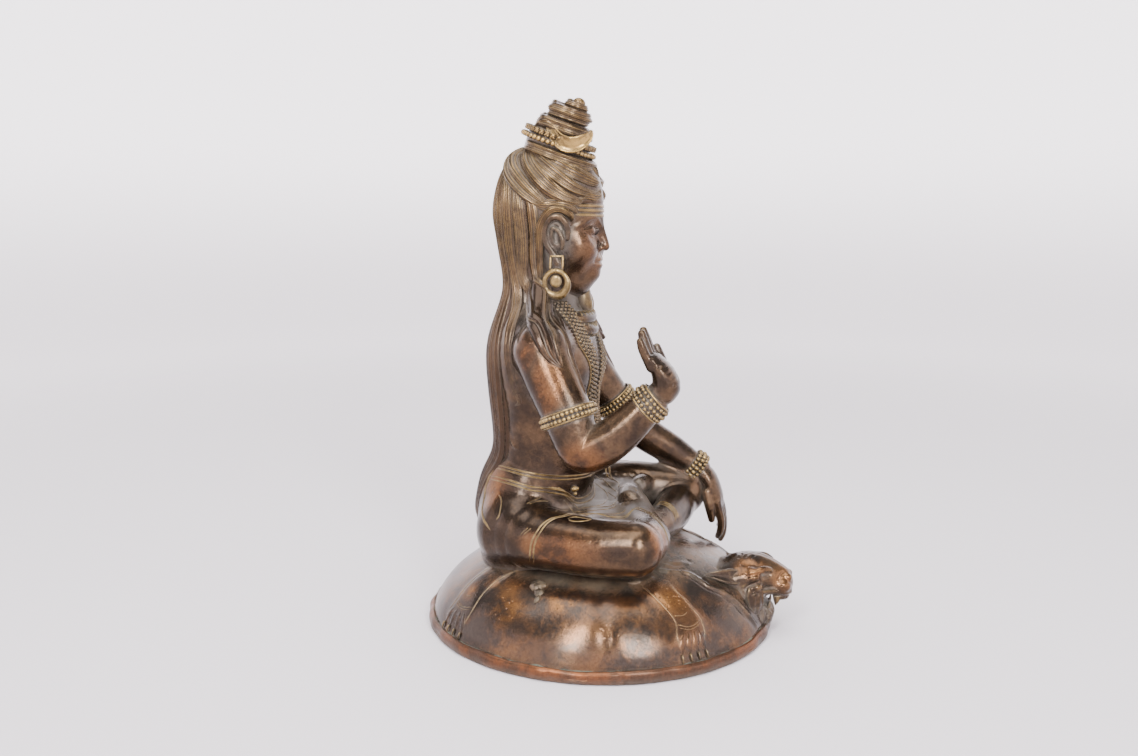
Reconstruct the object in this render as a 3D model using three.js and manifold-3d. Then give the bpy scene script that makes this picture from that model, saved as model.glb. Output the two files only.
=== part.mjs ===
// Seated bronze figure on a low mound covered by a tiger skin, closed below by a copper plate.
// Millimetres, +Z up. The origin is the centre of the plate's underside. The figure faces -Y,
// and its right side is towards -X.
import * as THREE from "three";
import { mergeVertices } from "three/addons/utils/BufferGeometryUtils.js";
import Module from "manifold-3d";

const wasm = await Module();
wasm.setup();

// Driving dimensions
const plateLength = 190; // along Y
const plateWidth = 182; // along X
const plateThickness = 2;
const lipHeight = 6;
const lipWall = 2.4;
const seam = 0.3; // gap between one piece and the next
const moundHeight = 47; // from the plate's underside to the crown of the mound
const figureHeight = 234; // from the seat's level to the tip of the topknot

// The figure's stations are given in millimetres from the plate's underside, for a figure of
// setOutHeight on a seat at setOutSeat, and are scaled and lifted with the two sizes above.
const setOutHeight = 234;
const setOutSeat = 46;
const crownAboveSeat = 1;

const copper = new THREE.MeshStandardMaterial({ color: 0xa85c3a, roughness: 0.45, metalness: 0.9 });
const darkBronze = new THREE.MeshStandardMaterial({ color: 0x4a3426, roughness: 0.35, metalness: 0.9 });
const moundBronze = new THREE.MeshStandardMaterial({ color: 0x5c4738, roughness: 0.5, metalness: 0.85 });

const X = new THREE.Vector3(1, 0, 0);
const Y = new THREE.Vector3(0, 1, 0);
const Z = new THREE.Vector3(0, 0, 1);
const figureScale = figureHeight / setOutHeight;
const seatLevel = moundHeight - crownAboveSeat;
const figureFrame = new THREE.Matrix4()
  .makeScale(figureScale, figureScale, figureScale)
  .setPosition(0, 0, seatLevel - setOutSeat * figureScale);

function vector(values) {
  return new THREE.Vector3(values[0], values[1], values[2]);
}

function mix(a, b, share) {
  return a + (b - a) * share;
}

// A closed geometry becomes a solid that can be joined and cut.
function solidOf(geometry, frame = null) {
  geometry.deleteAttribute("normal");
  geometry.deleteAttribute("uv");
  if (frame) geometry.applyMatrix4(frame);
  const merged = mergeVertices(geometry, 0.001);
  return new wasm.Manifold(new wasm.Mesh({
    numProp: 3,
    vertProperties: new Float32Array(merged.attributes.position.array),
    triVerts: new Uint32Array(merged.index.array),
  }));
}

function geometryOf(solid) {
  const mesh = solid.getMesh();
  const geometry = new THREE.BufferGeometry();
  geometry.setAttribute("position", new THREE.BufferAttribute(mesh.vertProperties, 3));
  geometry.setIndex(new THREE.BufferAttribute(mesh.triVerts, 1));
  geometry.computeVertexNormals();
  return geometry;
}

function joined(solids) {
  return solids.reduce((whole, part) => whole.add(part));
}

// Small pockets that overlapping forms seal between them are filled
function filled(solid) {
  return joined(solid.decompose().filter((shell) => shell.volume() > 0));
}

// Rows of a band: place across its half breadth and share of its rise
const bandRows = [[-1, 0], [-0.6, 1], [0, 0.3], [0.6, 1], [1, 0]];

// A rounded form along a smooth line. Each station is [x, y, z, half width, half depth]; the
// width lies along the given direction, as far as the line allows. A band is [share of the line,
// half its breadth as a share, how far it stands out]: two raised rows with a groove between.
// Sections stand square to the line, or to the direction called normal where one is given.
function form(stations, {
  sides = 7, steps = 1, across = X, blunt = 0.6, square = 1, bands = [], frame = figureFrame, normal = null,
} = {}) {
  const line = new THREE.CatmullRomCurve3(stations.map(vector), false, "catmullrom", 0.5);
  const sizes = new THREE.CatmullRomCurve3(
    stations.map((s) => new THREE.Vector3(s[3], s[4] ?? s[3], 0)), false, "catmullrom", 0.5);
  const spans = (stations.length - 1) * steps;
  let shares = Array.from({ length: spans + 1 }, (unused, i) => [i / spans, 0]);
  for (const [middle, half, proud] of bands) {
    shares = shares.filter(([t]) => Math.abs(t - middle) > half * 1.2);
    bandRows.forEach(([place, rise]) => shares.push([middle + place * half, rise * proud]));
  }
  shares.sort((a, b) => a[0] - b[0]);
  const rings = shares.map(([t, rise]) => ({
    centre: line.getPoint(t),
    along: normal ?? line.getTangent(Math.min(Math.max(t, 0.001), 0.999)).normalize(),
    size: sizes.getPoint(t).addScalar(rise),
  }));
  // Each end closes with one smaller ring and a pole, which stand for a rounded end
  const closing = (ring, sign) => {
    const reach = Math.min(ring.size.x, ring.size.y) * blunt;
    const inner = {
      centre: ring.centre.clone().addScaledVector(ring.along, sign * reach * 0.7),
      along: ring.along,
      size: ring.size.clone().multiplyScalar(0.65),
    };
    const pole = {
      centre: ring.centre.clone().addScaledVector(ring.along, sign * reach),
      along: ring.along,
      size: ring.size.clone(),
    };
    return [inner, pole];
  };
  const [firstInner, firstPole] = closing(rings[0], -1);
  const [lastInner, lastPole] = closing(rings[rings.length - 1], 1);
  rings.unshift(firstInner);
  rings.push(lastInner);
  const geometry = new THREE.CylinderGeometry(1, 1, 1, sides, rings.length - 1);
  const position = geometry.attributes.position;
  for (let i = 0; i < position.count; i += 1) {
    const level = Math.round((0.5 - position.getY(i)) * (rings.length - 1));
    const onAxis = Math.hypot(position.getX(i), position.getZ(i)) < 0.5;
    const ring = rings[level];
    const width = across.clone().addScaledVector(ring.along, -across.dot(ring.along)).normalize();
    const depth = new THREE.Vector3().crossVectors(ring.along, width);
    const point = new THREE.Vector3();
    if (onAxis) {
      point.copy(level === 0 ? firstPole.centre : lastPole.centre);
    } else {
      const a = position.getX(i);
      const b = position.getZ(i);
      point.copy(ring.centre)
        .addScaledVector(width, ring.size.x * Math.sign(a) * Math.abs(a) ** square)
        .addScaledVector(depth, ring.size.y * Math.sign(b) * Math.abs(b) ** square);
    }
    position.setXYZ(i, point.x, point.y, point.z);
  }
  return solidOf(geometry, frame);
}

// An ellipsoid, turned about X by the given angle
function ball(centre, radii, { around = 10, high = 6, turn = 0 } = {}) {
  const geometry = new THREE.SphereGeometry(1, around, high);
  geometry.rotateX(Math.PI / 2);
  geometry.scale(radii[0], radii[1], radii[2]);
  geometry.rotateX(turn);
  geometry.translate(centre[0], centre[1], centre[2]);
  return solidOf(geometry, figureFrame);
}

// A ring of beads: a torus whose section swells at each bead
function beadRing(centre, axis, radii, beadRadius, beads, waist = 0.7) {
  const around = beads * 2;
  const geometry = new THREE.TorusGeometry(1, 0.2, 4, around);
  const turn = new THREE.Quaternion().setFromUnitVectors(Z, vector(axis).normalize());
  const position = geometry.attributes.position;
  const point = new THREE.Vector3();
  for (let i = 0; i < position.count; i += 1) {
    point.fromBufferAttribute(position, i);
    const angle = Math.atan2(point.y, point.x);
    const out = Math.hypot(point.x, point.y) - 1;
    const step = Math.round((angle / (2 * Math.PI)) * around);
    const swell = (step % 2 === 0 ? 1 : waist) * beadRadius / 0.2;
    point.set(
      Math.cos(angle) * (radii[0] + out * swell),
      Math.sin(angle) * (radii[1] + out * swell),
      point.z * swell);
    point.applyQuaternion(turn).add(vector(centre));
    position.setXYZ(i, point.x, point.y, point.z);
  }
  return solidOf(geometry, figureFrame);
}

// A string of beads, drawn as one cord of the beads' width
function beadString(points, beadRadius) {
  return form(points.map((point) => [...point, beadRadius]), { sides: 4, across: Y });
}

// Torso, neck and seat
const trunk = [
  [0, 36, 28, 36, 24], [0, 36.5, 42, 45, 29], [0, 36.5, 56, 46, 30], [0, 35, 71, 40, 30],
  [0, 31, 84, 35, 28.5], [0, 30, 100, 34.5, 27], [0, 29.5, 120, 38, 27],
  [0, 29, 140, 42, 27], [0, 29.5, 153, 40, 25.5], [0, 30, 164, 27, 21],
];

// The girdle: two raised lines round the waist
const girdle = [0.405, 0.035, 1.2];

function torso() {
  return joined([
    form(trunk, { sides: 11, blunt: 0.3, bands: [girdle], normal: Z }),
    ball([-17, 4.6, 77], [2.6, 2.2, 2.6], { around: 6, high: 4 }),
    form([[0, 28, 158, 15, 14], [0, 25, 172, 13, 12.5], [0, 26, 188, 14, 14]]),
    form([[-41, 21, 153, 13.5, 13.5], [0, 27, 158, 14, 17], [41, 21, 152, 13.5, 13.5]], { sides: 8, across: Y }),
    ball([-15, 8, 142], [14, 7, 11], { around: 8, high: 4 }),
    ball([15, 8, 142], [14, 7, 11], { around: 8, high: 4 }),
  ]);
}

// Head: chin to hairline is three even thirds of faceThird
const chinZ = 186;
const faceThird = 15.6;
const noseZ = chinZ + faceThird;
const browZ = noseZ + faceThird;
const hairlineZ = browZ + faceThird;
const eyeZ = browZ - 5;
const mouthZ = chinZ + 9.4;

function head() {
  const skull = form([
    [0, 13, chinZ - 1.5, 8, 8], [0, 17, chinZ + 4, 14, 15.6], [0, 22, mouthZ, 18.5, 20.8],
    [0, 26, noseZ, 21.5, 25.2], [0, 27.6, eyeZ, 23, 28.2], [0, 28, browZ + 6, 23.4, 29.4],
    [0, 29, hairlineZ + 3, 22.5, 28.8], [0, 30, hairlineZ + 14, 15, 20],
  ], { sides: 12, blunt: 0.4, normal: Z });
  const nose = form([
    [0, 1.2, browZ - 1, 2, 2.6], [0, -1, eyeZ - 2, 2, 2.8], [0, -2.4, noseZ + 3, 3.2, 3], [0, 0, noseZ, 4.2, 2.4],
  ], { sides: 5 });
  const parts = [skull, nose, ball([0, 2.6, chinZ + 2.6], [5, 3.4, 3.4], { around: 6, high: 4 })];
  for (const side of [-1, 1]) {
    parts.push(form([
      [side * 2.5, 0.6, browZ - 1.5, 1.2, 1.2], [side * 9, 1.6, browZ + 0.6, 1.6, 1.5],
      [side * 17, 7.4, browZ - 2.5, 1, 1],
    ], { sides: 4, across: Z }));
    parts.push(ball([side * 8.6, 4, eyeZ], [5.4, 2.8, 2.6], { around: 8, high: 4 }));
  }
  for (const [z, width] of [[mouthZ + 1.5, 7], [mouthZ - 1.6, 5.6]]) {
    parts.push(form([
      [-width, 4.2, mouthZ, 0.8, 0.8], [0, 0.6, z, 1.7, 1.5], [width, 4.2, mouthZ, 0.8, 0.8],
    ], { sides: 5, across: Z }));
  }
  return joined(parts);
}

// One ear with its hoop. The far ear is the near one mirrored.
const earX = 23.4;
function ear(side) {
  const at = (x, y, z, width, depth) => [side * x, y, z, width, depth ?? width];
  const shell = form([
    at(earX - 2, 13, 211, 1.8), at(earX + 1, 13.5, 216, 2), at(earX + 1.6, 20, 218, 2),
    at(earX + 1.5, 23, 211, 2), at(earX + 1, 20, 202, 2.2), at(earX + 1.4, 17.6, 196, 2.4, 2.2),
  ], { sides: 5 });
  const hoop = beadRing([side * (earX + 4.6), 17.4, 187.8], [1, 0, 0], [8.2, 6.4], 2, 7, 1);
  return shell.add(hoop);
}

// Hair: the crown, the locks swept back into the topknot, and the long fall behind
const crownCentre = [0, 27.5, 221];
const crownRadii = [25.5, 30.5, 33];

function onCrown(turn, rise, lift = 0) {
  const around = THREE.MathUtils.degToRad(turn);
  const up = THREE.MathUtils.degToRad(rise);
  return [
    crownCentre[0] - (crownRadii[0] + lift) * Math.cos(up) * Math.sin(around),
    crownCentre[1] - (crownRadii[1] + lift) * Math.cos(up) * Math.cos(around),
    crownCentre[2] + (crownRadii[2] + lift) * Math.sin(up),
  ];
}

// Each lock of the crown: turn and rise in degrees at the front hairline, half way and at the topknot
const crownLocks = [
  [[16, 37], [46, 50], [100, 61]],
  [[34, 23], [68, 37], [120, 55]],
  [[58, 6], [91, 20], [142, 47]],
];

function crownHair() {
  const parts = [ball(crownCentre, crownRadii, { around: 12, high: 8 })];
  for (const side of [1, -1]) {
    for (const lock of crownLocks) {
      const stations = lock.map(([turn, rise], i) => [...onCrown(side * turn, rise, -1.2), i === 1 ? 6 : 4, 3]);
      parts.push(form(stations, { sides: 4, across: Z }));
    }
  }
  // The crown ends at the hairline in front and above the ears
  const frame = new THREE.BoxGeometry(80, 60, 60);
  frame.rotateX(THREE.MathUtils.degToRad(-24));
  frame.translate(0, -12, hairlineZ - 31);
  return joined(parts).subtract(solidOf(frame, figureFrame));
}

const hairFall = [
  [0, 34, 250, 13, 13], [0, 34, 241, 20, 21], [0, 33, 226, 24.5, 24.5], [0, 32.5, 208, 24, 23.5], [0, 32, 192, 22, 21],
  [0, 35, 178, 22, 19], [0, 39, 165, 27, 18.4], [0, 43, 150, 33, 17.6], [0, 45, 130, 34, 16],
  [0, 45, 108, 31, 15], [0, 46, 90, 28, 14], [0, 51, 74, 26, 14], [0, 56, 60, 25, 13], [0, 56, 48, 20, 11.5],
];

function longHair() {
  const parts = [form(hairFall, { sides: 10, blunt: 0.3, normal: Z.clone().negate() })];
  for (const side of [-1, 1]) {
    const at = (stations) => stations.map((s) => [side * s[0], ...s.slice(1)]);
    // The broad tuft over the shoulder, ending in a leaf-shaped point
    parts.push(form(at([
      [22, 27, 184, 6, 6], [31, 25, 172, 8, 6], [42, 22, 164, 9, 5], [50, 16, 156, 7, 4.5], [54, 9, 147, 2.2, 2],
    ]), { sides: 6, across: Y }));
    // The lock behind it, ending in a curl
    parts.push(form(at([
      [26, 36, 176, 6, 5], [36, 40, 160, 6, 4], [38, 42, 144, 5, 3.5], [38, 38, 131, 3, 2.5], [38, 34, 125, 1, 1],
    ]), { sides: 5, across: Y }));
    // The narrow strand from the neck down the front of the upper arm
    parts.push(form(at([
      [20, 14, 176, 3, 3], [32, 9, 165, 3.4, 2.6], [42, 5, 154, 2.6, 2.4], [47, 0, 142, 2, 2], [49, -4, 132, 1.2, 1.2],
    ]), { sides: 4, across: Y }));
  }
  return joined(parts);
}

// Topknot: stacked coils over two rows of beads and a combed band, leaning forward.
// Each row is [radius, height, beaded].
const knotLean = THREE.MathUtils.degToRad(20);
const knotRows = [
  [0, -9, 0], [17.5, -8, 0], [21.4, -4.5, 0], [21.2, 0, 0], [18.6, 2.4, 0], [21, 4.4, 1], [18.4, 6, 0], [19.4, 8, 1],
  [16, 9, 0], [16.6, 12, 0], [14, 14.8, 0], [14.6, 17.8, 0], [11, 20.6, 0], [7.2, 21.6, 0], [7, 24, 0],
  [4, 25.8, 0], [3.6, 28.4, 0], [0, 30.9, 0],
];
const knotBeads = 10;

function topknot() {
  const knot = new THREE.LatheGeometry(knotRows.map(([r, z]) => new THREE.Vector2(r, z)), knotBeads * 2);
  const position = knot.attributes.position;
  for (let i = 0; i < position.count; i += 1) {
    const row = i % knotRows.length;
    const slice = Math.floor(i / knotRows.length);
    const swell = knotRows[row][2] && slice % 2 ? 0.88 : 1;
    // The coils drift forward as they rise
    const drift = Math.max(0, position.getY(i) - 8) * 0.2;
    position.setX(i, position.getX(i) * 0.92 * swell);
    position.setZ(i, position.getZ(i) * swell + drift);
  }
  knot.rotateX(Math.PI / 2);
  knot.rotateX(knotLean);
  knot.translate(0, 24, 252.5);
  const crescent = form([
    [-8.6, 28, 269, 1, 1.2], [-14.6, 25.5, 261, 3, 1.8], [-17.8, 15.5, 252.5, 4.6, 1.8],
    [-14, 5.5, 257.5, 3, 1.8], [-7.4, 3.6, 267, 1, 1.2],
  ], { sides: 4, steps: 2, across: Z });
  return joined([solidOf(knot, figureFrame), crescent]);
}

// Arms. The right hand is raised with its palm forward; the left hangs over the knee.
const rightArm = [
  [-41, 22, 153, 13.6, 14], [-47, 15, 140, 12.6, 13.4], [-53, 5, 122, 11.8, 12.4],
  [-56, -1.5, 107, 10.6, 10.4], [-55.5, -10, 108.5, 10.4, 11], [-54, -22, 117, 9.6, 10], [-51, -36, 131.5, 7.6, 8],
];
const leftArm = [
  [41, 22, 152, 13.6, 14], [44, 11, 135, 12.4, 13], [48, -3, 117, 11.6, 12.2],
  [52, -13, 99.5, 10.6, 11], [55, -22, 91, 10, 10.2], [58, -34, 81.5, 9, 9], [60, -48, 70.5, 7.4, 7],
];

function rightHand() {
  const palm = form([
    [-50, -37, 133, 7.6, 6.4], [-49, -42, 138, 9, 6.2], [-48, -40, 146, 9.6, 4.6], [-47.5, -34.5, 152.5, 9.4, 3.4],
  ], { blunt: 0.4, square: 0.85 });
  const parts = [palm];
  const lengths = [10.5, 13.5, 14, 12];
  lengths.forEach((length, i) => {
    const x = -54.2 + i * 4.6;
    const spread = (i - 1.5) * 0.05;
    parts.push(form([
      [x, -35.2, 151, 2.5, 2.5], [x + spread * length, -31.6, 151 + length * 0.55, 2.3, 2.2],
      [x + spread * length * 2, -29.6 - (i === 0 ? 0 : 0.6), 151 + length, 1.5, 1.4],
    ], { sides: 4, blunt: 0.8 }));
  });
  parts.push(form([
    [-42, -42, 141, 3.4, 3.4], [-38.4, -41.6, 148, 2.8, 2.8], [-37.6, -38.4, 155, 1.8, 1.6],
  ], { sides: 4, blunt: 0.8 }));
  return joined(parts);
}

function leftHand() {
  const palm = form([
    [60, -48, 70.5, 7.2, 6], [60, -54, 64.5, 8.4, 5.4], [60, -58, 56, 9, 4.6], [60.5, -60, 50, 8.8, 3.6],
  ], { blunt: 0.4, square: 0.85 });
  const parts = [palm];
  const ends = [[55, -61, 30], [59.6, -62.4, 27], [64, -62, 28.5], [68, -60.6, 33]];
  ends.forEach(([x, y, z], i) => {
    const start = [53.6 + i * 4.6, -59.5, 51];
    parts.push(form([
      [...start, 2.5, 2.5], [mix(start[0], x, 0.5), y - 2.4, mix(start[2], z, 0.5), 2.2, 2.3], [x, y, z, 1.5, 1.4],
    ], { sides: 4, blunt: 0.8 }));
  });
  parts.push(form([
    [53, -53.5, 58, 3, 3], [51, -56, 49, 2.6, 2.6], [52.6, -57, 41, 1.8, 1.8],
  ], { sides: 4, blunt: 0.8 }));
  return joined(parts);
}

function arms() {
  return joined([
    form(rightArm, { bands: [[0.36, 0.045, 2.2], [0.935, 0.05, 2.4]] }),
    form(leftArm, { bands: [[0.34, 0.045, 2.2], [0.94, 0.05, 2.4]] }),
    rightHand(),
    leftHand(),
  ]);
}

// Crossed legs, feet, the cloth across the lap and the girdle
function legs() {
  return joined([
    form([[-30, 39, 55, 21, 22], [-44, 20, 56, 17, 16], [-55, -8, 57, 14.6, 14.6], [-57, -29, 58.4, 13.8, 14]],
      { blunt: 1 }),
    form([[30, 40, 55, 21, 22], [42, 18, 58, 17, 16.5], [52, -12, 59.6, 15, 15], [58, -39, 56.5, 13.4, 14]],
      { blunt: 1 }),
    form([[-57, -30, 59, 11.5, 12], [-36, -33, 57, 11, 11.4], [-12, -26, 57, 9.6, 9.8], [10, -18, 61, 8, 7.6]],
      { sides: 7, across: Y, blunt: 0.8 }),
    form([[57, -37, 54, 11.5, 12], [34, -36, 51, 11, 11], [8, -31, 50, 9.8, 9.6], [-18, -22, 50, 8, 8]],
      { sides: 7, across: Y, blunt: 0.8 }),
    // The right foot lies sole up on the left calf; the left foot shows past the right shin
    form([[4, -19, 61, 6, 6.4], [14, -15, 64.5, 6.8, 6], [26, -12, 65, 7, 4.6], [36, -10, 64, 5.4, 3]],
      { sides: 7, across: Y, blunt: 0.8 }),
    form([[18, -26, 62, 6, 5], [28, -24, 64, 6, 5.4], [40, -22, 63, 6, 4.6]], { sides: 7, across: Y, blunt: 0.8 }),
    // Cloth stretched between the thighs
    form([[-40, 6, 58, 22, 9.5], [0, 2, 57, 26, 8.5], [40, 4, 60, 22, 11]], { across: Y }),
  ]);
}

// Two bead strings and the snake round the neck
function neckwear() {
  return joined([
    beadString([[-17, 22, 172], [-19, 8, 160], [-15, 0.6, 146], [-9, -0.4, 128], [0, -0.2, 112],
      [9, -0.4, 128], [15, 0.6, 146], [19, 8, 160], [17, 22, 172]], 2.2),
    beadString([[-20, 24, 170], [-25, 9, 156], [-22, 3, 140], [-14, 1.4, 118], [0, 1, 103],
      [14, 1.4, 118], [22, 3, 140], [25, 9, 156], [20, 24, 170]], 2.2),
    form([[16, 22, 172, 4], [13, 10, 168, 4.4], [0, 5.6, 164, 4.6], [-13, 10, 166, 4.4], [-17, 22, 170, 4]],
      { sides: 5, across: Z }),
    form([[10, 9, 160, 3.6], [0, 5.4, 157, 4.2], [-10, 9, 160, 3.6]], { sides: 5, across: Z }),
    form([[6, 10, 166, 3, 3], [5, 7.4, 172, 5.4, 2.4], [4, 8.6, 179, 3.4, 2]], { sides: 5 }),
  ]);
}

// Mound. Its foot fits inside the plate's lip.
const footLength = plateLength / 2 - lipWall - seam;
const footWidth = plateWidth / 2 - lipWall - seam;
const footLevel = plateThickness + seam;
// Rings of the mound, as shares of the reach from the crown to the foot
const moundReaches = [0.35, 0.6, 0.76, 0.87, 0.94, 0.98, 1];
const moundLobes = 5;
const lobeSwell = 0.03;

// A point of the mound's surface: angle 0 is towards -Y and a quarter turn is towards +X
function onMound(angle, reach, grow = 0) {
  const rise = (1 - reach ** 3) ** 0.6;
  const front = 0.5 + 0.5 * Math.cos(angle);
  const lobe = 1 + lobeSwell * Math.cos(moundLobes * angle + 0.6) * Math.sin(Math.PI * reach);
  const crown = (moundHeight - footLevel) * mix(mix(0.9, 1, front), 1, 1 - reach);
  return [
    Math.sin(angle) * (footWidth * reach * lobe + grow),
    -Math.cos(angle) * (footLength * reach * lobe + grow),
    footLevel + crown * rise + grow * (reach < 1 ? 1 : -1),
  ];
}

function moundSolid(grow) {
  const geometry = new THREE.CylinderGeometry(1, 1, 1, 28, moundReaches.length - 1);
  const position = geometry.attributes.position;
  for (let i = 0; i < position.count; i += 1) {
    const level = Math.round((0.5 - position.getY(i)) * (moundReaches.length - 1));
    const onAxis = Math.hypot(position.getX(i), position.getZ(i)) < 0.5;
    const angle = Math.atan2(position.getX(i), position.getZ(i));
    if (onAxis) {
      position.setXYZ(i, 0, 0, level === 0 ? moundHeight + grow : footLevel - grow);
    } else {
      position.setXYZ(i, ...onMound(angle, moundReaches[level], grow));
    }
  }
  return solidOf(geometry);
}

// The tiger skin: head over the front edge, and four legs in low relief down the sides. Places are
// measured from the front of the mound's foot.
const headFrame = new THREE.Matrix4().setPosition(0, -footLength, footLevel);

function tigerHead() {
  const parts = [
    form([
      [0, 30, 25, 16, 10], [0, 16, 29, 20, 11.4], [0, 7, 28.4, 20, 12], [0, -3, 25.2, 14.4, 10], [0, -11, 22.8, 10.6, 7.2],
    ], { sides: 8, blunt: 0.5, frame: headFrame }),
    form([[0, 18, 17, 18, 12], [0, 7, 12, 14.5, 8], [0, -2, 9.2, 8, 3.2]], { sides: 6, blunt: 0.6, frame: headFrame }),
  ];
  for (const side of [-1, 1]) {
    parts.push(form([
      [side * 16, 16, 32.4, 4.4, 2.8], [side * 20.5, 25, 31, 4.8, 2.2], [side * 22, 35, 29, 1.6, 1],
    ], { sides: 4, blunt: 0.6, frame: headFrame }));
    parts.push(form([[side * 5, -7.4, 17.6, 1.6, 1.6], [side * 4.8, -7, 13, 0.7, 0.7]], { sides: 4, frame: headFrame }));
  }
  return joined(parts);
}

// Each leg: angle on the mound in degrees and share of its reach, from the body to the paw
const tigerLegs = [
  [[-50, 0.655], [-47, 0.817], [-46, 0.91], [-47.5, 0.955]],
  [[-130, 0.57], [-135, 0.75], [-135, 0.89], [-134, 0.955]],
];

function tigerLeg(places, side, grow) {
  const stations = places.map(([turn, reach], i) => {
    const point = onMound(THREE.MathUtils.degToRad(turn) * side, reach, -1.6);
    return [...point, (i === places.length - 1 ? 7.6 : 6.4) + grow, 3.6 + grow];
  });
  const along = vector(stations[0]).sub(vector(stations[stations.length - 1]));
  const level = new THREE.Vector3().crossVectors(along, Z).normalize();
  return form(stations, { sides: 5, across: level, blunt: 0.8, frame: null });
}

// The dome with the skin's legs on it, grown by the gap that the figure keeps to it
function skinnedMound(grow) {
  const legs = tigerLegs.flatMap((places) => [tigerLeg(places, 1, grow), tigerLeg(places, -1, grow)]);
  return joined([moundSolid(grow), ...legs]);
}

function mound() {
  return filled(skinnedMound(0).add(tigerHead()));
}

// Sole plate: flat below, with its edge hammered up round the foot of the mound
function solePlate() {
  const outer = plateLength / 2;
  const profile = [
    [0, 0], [outer - 2, 0], [outer - 0.3, 1.2], [outer, 3.4], [outer - 0.9, lipHeight],
    [outer - lipWall, lipHeight - 0.6],
    [outer - lipWall, plateThickness], [0, plateThickness],
  ].map(([r, z]) => new THREE.Vector2(r, z));
  const geometry = new THREE.LatheGeometry(profile, 36);
  geometry.rotateX(Math.PI / 2);
  const position = geometry.attributes.position;
  for (let i = 0; i < position.count; i += 1) {
    const radius = Math.hypot(position.getX(i), position.getY(i));
    const angle = Math.atan2(position.getX(i), position.getY(i));
    const long = radius / outer * plateLength / 2;
    const wide = radius - (plateLength - plateWidth) / 2 * Math.min(1, radius / (outer - 3));
    position.setX(i, Math.sin(angle) * wide);
    position.setY(i, Math.cos(angle) * long);
  }
  return solidOf(geometry);
}

function piece(name, solid, material) {
  const mesh = new THREE.Mesh(geometryOf(solid), material);
  mesh.name = name;
  return mesh;
}

const body = filled(joined([
  torso(), head(), ear(-1), ear(1), crownHair(), longHair(), topknot(), arms(), legs(), neckwear(),
]).subtract(skinnedMound(seam)));

const group = new THREE.Group();
group.add(piece("figure", body, darkBronze));
group.add(piece("mound", mound(), moundBronze));
group.add(piece("sole_plate", solePlate(), copper));
export default group;
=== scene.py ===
"""A seated bronze figure on a domed mound that a tiger skin covers, closed below by a copper plate.

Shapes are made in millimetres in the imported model's frame: +Z up, the figure faces -Y and its right
side is towards -X. Skin, hands, head and the tiger's head are modelled in wax, a grid of distances
that forms are rolled onto and pressed into. Hair, beads and trim are laid on it line by line.
"""
import math

import bpy
import numpy as np
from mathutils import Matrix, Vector


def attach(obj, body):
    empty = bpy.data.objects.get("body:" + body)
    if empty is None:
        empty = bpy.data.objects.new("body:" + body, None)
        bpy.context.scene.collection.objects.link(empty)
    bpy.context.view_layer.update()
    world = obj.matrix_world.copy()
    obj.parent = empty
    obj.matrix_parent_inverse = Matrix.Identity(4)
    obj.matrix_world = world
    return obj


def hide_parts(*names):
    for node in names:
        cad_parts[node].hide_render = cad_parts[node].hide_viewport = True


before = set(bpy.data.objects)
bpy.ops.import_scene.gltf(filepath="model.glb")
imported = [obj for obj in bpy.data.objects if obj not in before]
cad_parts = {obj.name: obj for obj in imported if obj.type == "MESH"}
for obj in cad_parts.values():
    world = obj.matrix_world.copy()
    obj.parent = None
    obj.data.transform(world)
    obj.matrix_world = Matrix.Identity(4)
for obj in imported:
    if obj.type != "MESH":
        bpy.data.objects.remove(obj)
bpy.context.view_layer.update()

ACROSS = np.array([1.0, 0.0, 0.0])
DEEP = np.array([0.0, 1.0, 0.0])
UP = np.array([0.0, 0.0, 1.0])
BOTH = (-1, 1)
rng = np.random.default_rng(7)


# Lines and frames along them

def unit(vectors):
    vectors = np.asarray(vectors, float)
    return vectors / np.maximum(np.linalg.norm(vectors, axis=-1, keepdims=True), 1e-9)


def eased(stations, steps=6):
    """Stations along one smooth line; all their numbers ease together."""
    p = np.array(stations, float)
    ends = np.vstack([2 * p[0] - p[1], p, 2 * p[-1] - p[-2]])
    t = np.linspace(0, 1, steps, endpoint=False)[:, None]
    parts = []
    for a, b, c, d in zip(ends[:-3], ends[1:-2], ends[2:-1], ends[3:]):
        parts.append(0.5 * (2 * b + (c - a) * t + (2 * a - 5 * b + 4 * c - d) * t**2
                            + (3 * b - a - 3 * c + d) * t**3))
    return np.vstack(parts + [p[-1:]])


def spaced(line, pitch):
    """Points at an even pitch along a line."""
    run = np.concatenate([[0], np.cumsum(np.linalg.norm(np.diff(line[:, :3], axis=0), axis=1))])
    at = np.linspace(0, run[-1], max(int(round(run[-1] / pitch)), 1) + 1)
    return np.stack([np.interp(at, run, line[:, k]) for k in range(line.shape[1])], 1)


def directions(line, facing):
    """Across a line, and out of it towards the side that it faces."""
    along = unit(np.gradient(line, axis=0))
    across = unit(np.cross(np.broadcast_to(facing, line.shape), along))
    return across, np.cross(along, across)


def on_side(side, stations):
    """Stations set out on the figure's left, kept there by 1 and moved to its right by -1."""
    return [[side * x, *rest] for x, *rest in stations]


def mirrored(half):
    """A line that runs on from its middle as the mirror of its first half."""
    return half + on_side(-1, half[-2::-1])


# Wax

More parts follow.
